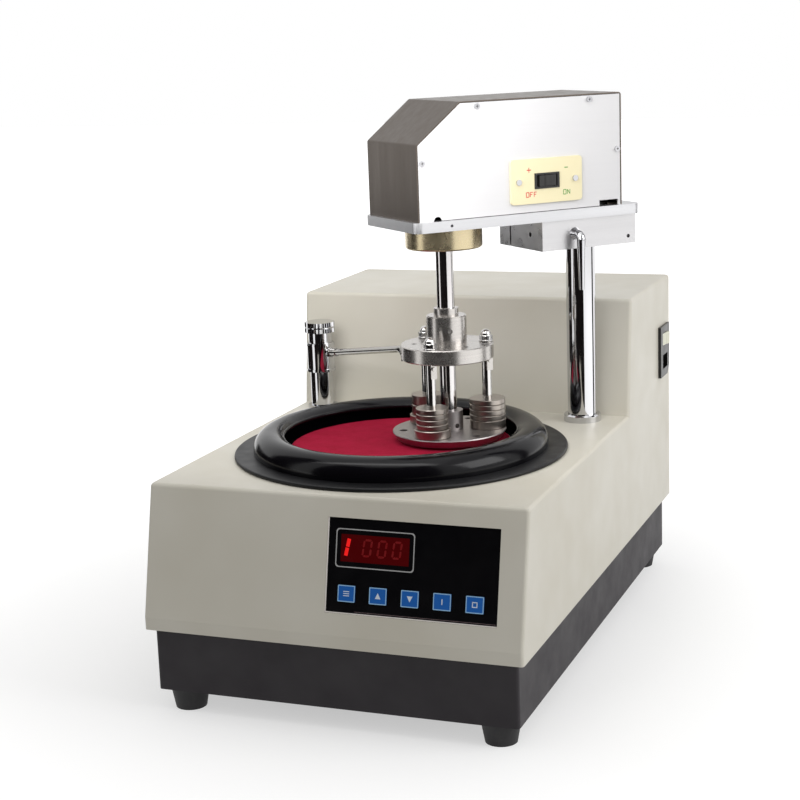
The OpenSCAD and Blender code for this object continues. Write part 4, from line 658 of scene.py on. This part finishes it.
far_off = ground.add("ShaderNodeVectorMath", operation="LENGTH")
ground.link(ground.coords, far_off.inputs[0])
GLOW_STARTS, GLOW_FULL = 0.25, 1.1  # metres from the middle of the floor
glow = ground.add("ShaderNodeMath", operation="MULTIPLY")
ground.link(ground.between(far_off.outputs["Value"], GLOW_STARTS, GLOW_FULL, 0.5, 1.0), glow.inputs[0])
ground.link(seen_directly(ground.tree), glow.inputs[1])
ground.link(glow.outputs[0], ground.shader.inputs["Emission Strength"])
floor.data.materials.append(ground.mat)

scene = bpy.context.scene
world = bpy.data.worlds.new("studio")
scene.world = world
world.use_nodes = True
tree = world.node_tree
tree.nodes.clear()
soft = tree.nodes.new("ShaderNodeBackground")
soft.inputs["Color"].default_value = (1.0, 0.995, 0.985, 1)
soft.inputs["Strength"].default_value = 0.54
pale = tree.nodes.new("ShaderNodeBackground")
pale.inputs["Color"].default_value = (1, 1, 1, 1)
pale.inputs["Strength"].default_value = 1.0
choose = tree.nodes.new("ShaderNodeMixShader")
tree.links.new(seen_directly(tree), choose.inputs[0])
tree.links.new(soft.outputs[0], choose.inputs[1])
tree.links.new(pale.outputs[0], choose.inputs[2])
end = tree.nodes.new("ShaderNodeOutputWorld")
tree.links.new(choose.outputs[0], end.inputs[0])


def softbox(name, place, aim, size, power):
    """A square area lamp at a place, turned towards a point."""
    lamp = bpy.data.lights.new(name, "AREA")
    lamp.shape = "SQUARE"
    lamp.size = size
    lamp.energy = power
    box = bpy.data.objects.new(name, lamp)
    scene.collection.objects.link(box)
    box.location = place
    box.rotation_euler = (Vector(aim) - Vector(place)).to_track_quat("-Z", "Y").to_euler()
    return box


softbox("key_box", (2.3, -0.15, 1.45), (0, 0, 0.25), 1.5, 27)
softbox("top_box", (0.2, -0.4, 2.6), (0, 0, 0.2), 1.8, 4)
softbox("tower_box", (-0.02, -0.3, 0.72), (-0.02, 0.11, 0.72), 0.5, 3.0)

# Camera

YAW, PITCH, ROLL = math.radians(21.2878), math.radians(12.2731), -0.0366534
CAMERA_PLACE = 0.6455, -1.74865, 0.6665
forward = Vector((-math.sin(YAW) * math.cos(PITCH), math.cos(YAW) * math.cos(PITCH), -math.sin(PITCH)))
right = Vector((math.cos(YAW), math.sin(YAW), 0))
up = right.cross(forward)
right2 = right * math.cos(ROLL) + up * math.sin(ROLL)
up2 = up * math.cos(ROLL) - right * math.sin(ROLL)
camera = bpy.data.objects.new("camera", bpy.data.cameras.new("camera"))
scene.collection.objects.link(camera)
place = Matrix((right2, up2, -forward)).transposed().to_4x4()
place.translation = Vector(CAMERA_PLACE)
camera.matrix_world = place
camera.data.lens = 79.04
camera.data.sensor_width = 36
camera.data.clip_start = 0.05
scene.camera = camera
scene.view_settings.view_transform = "Standard"
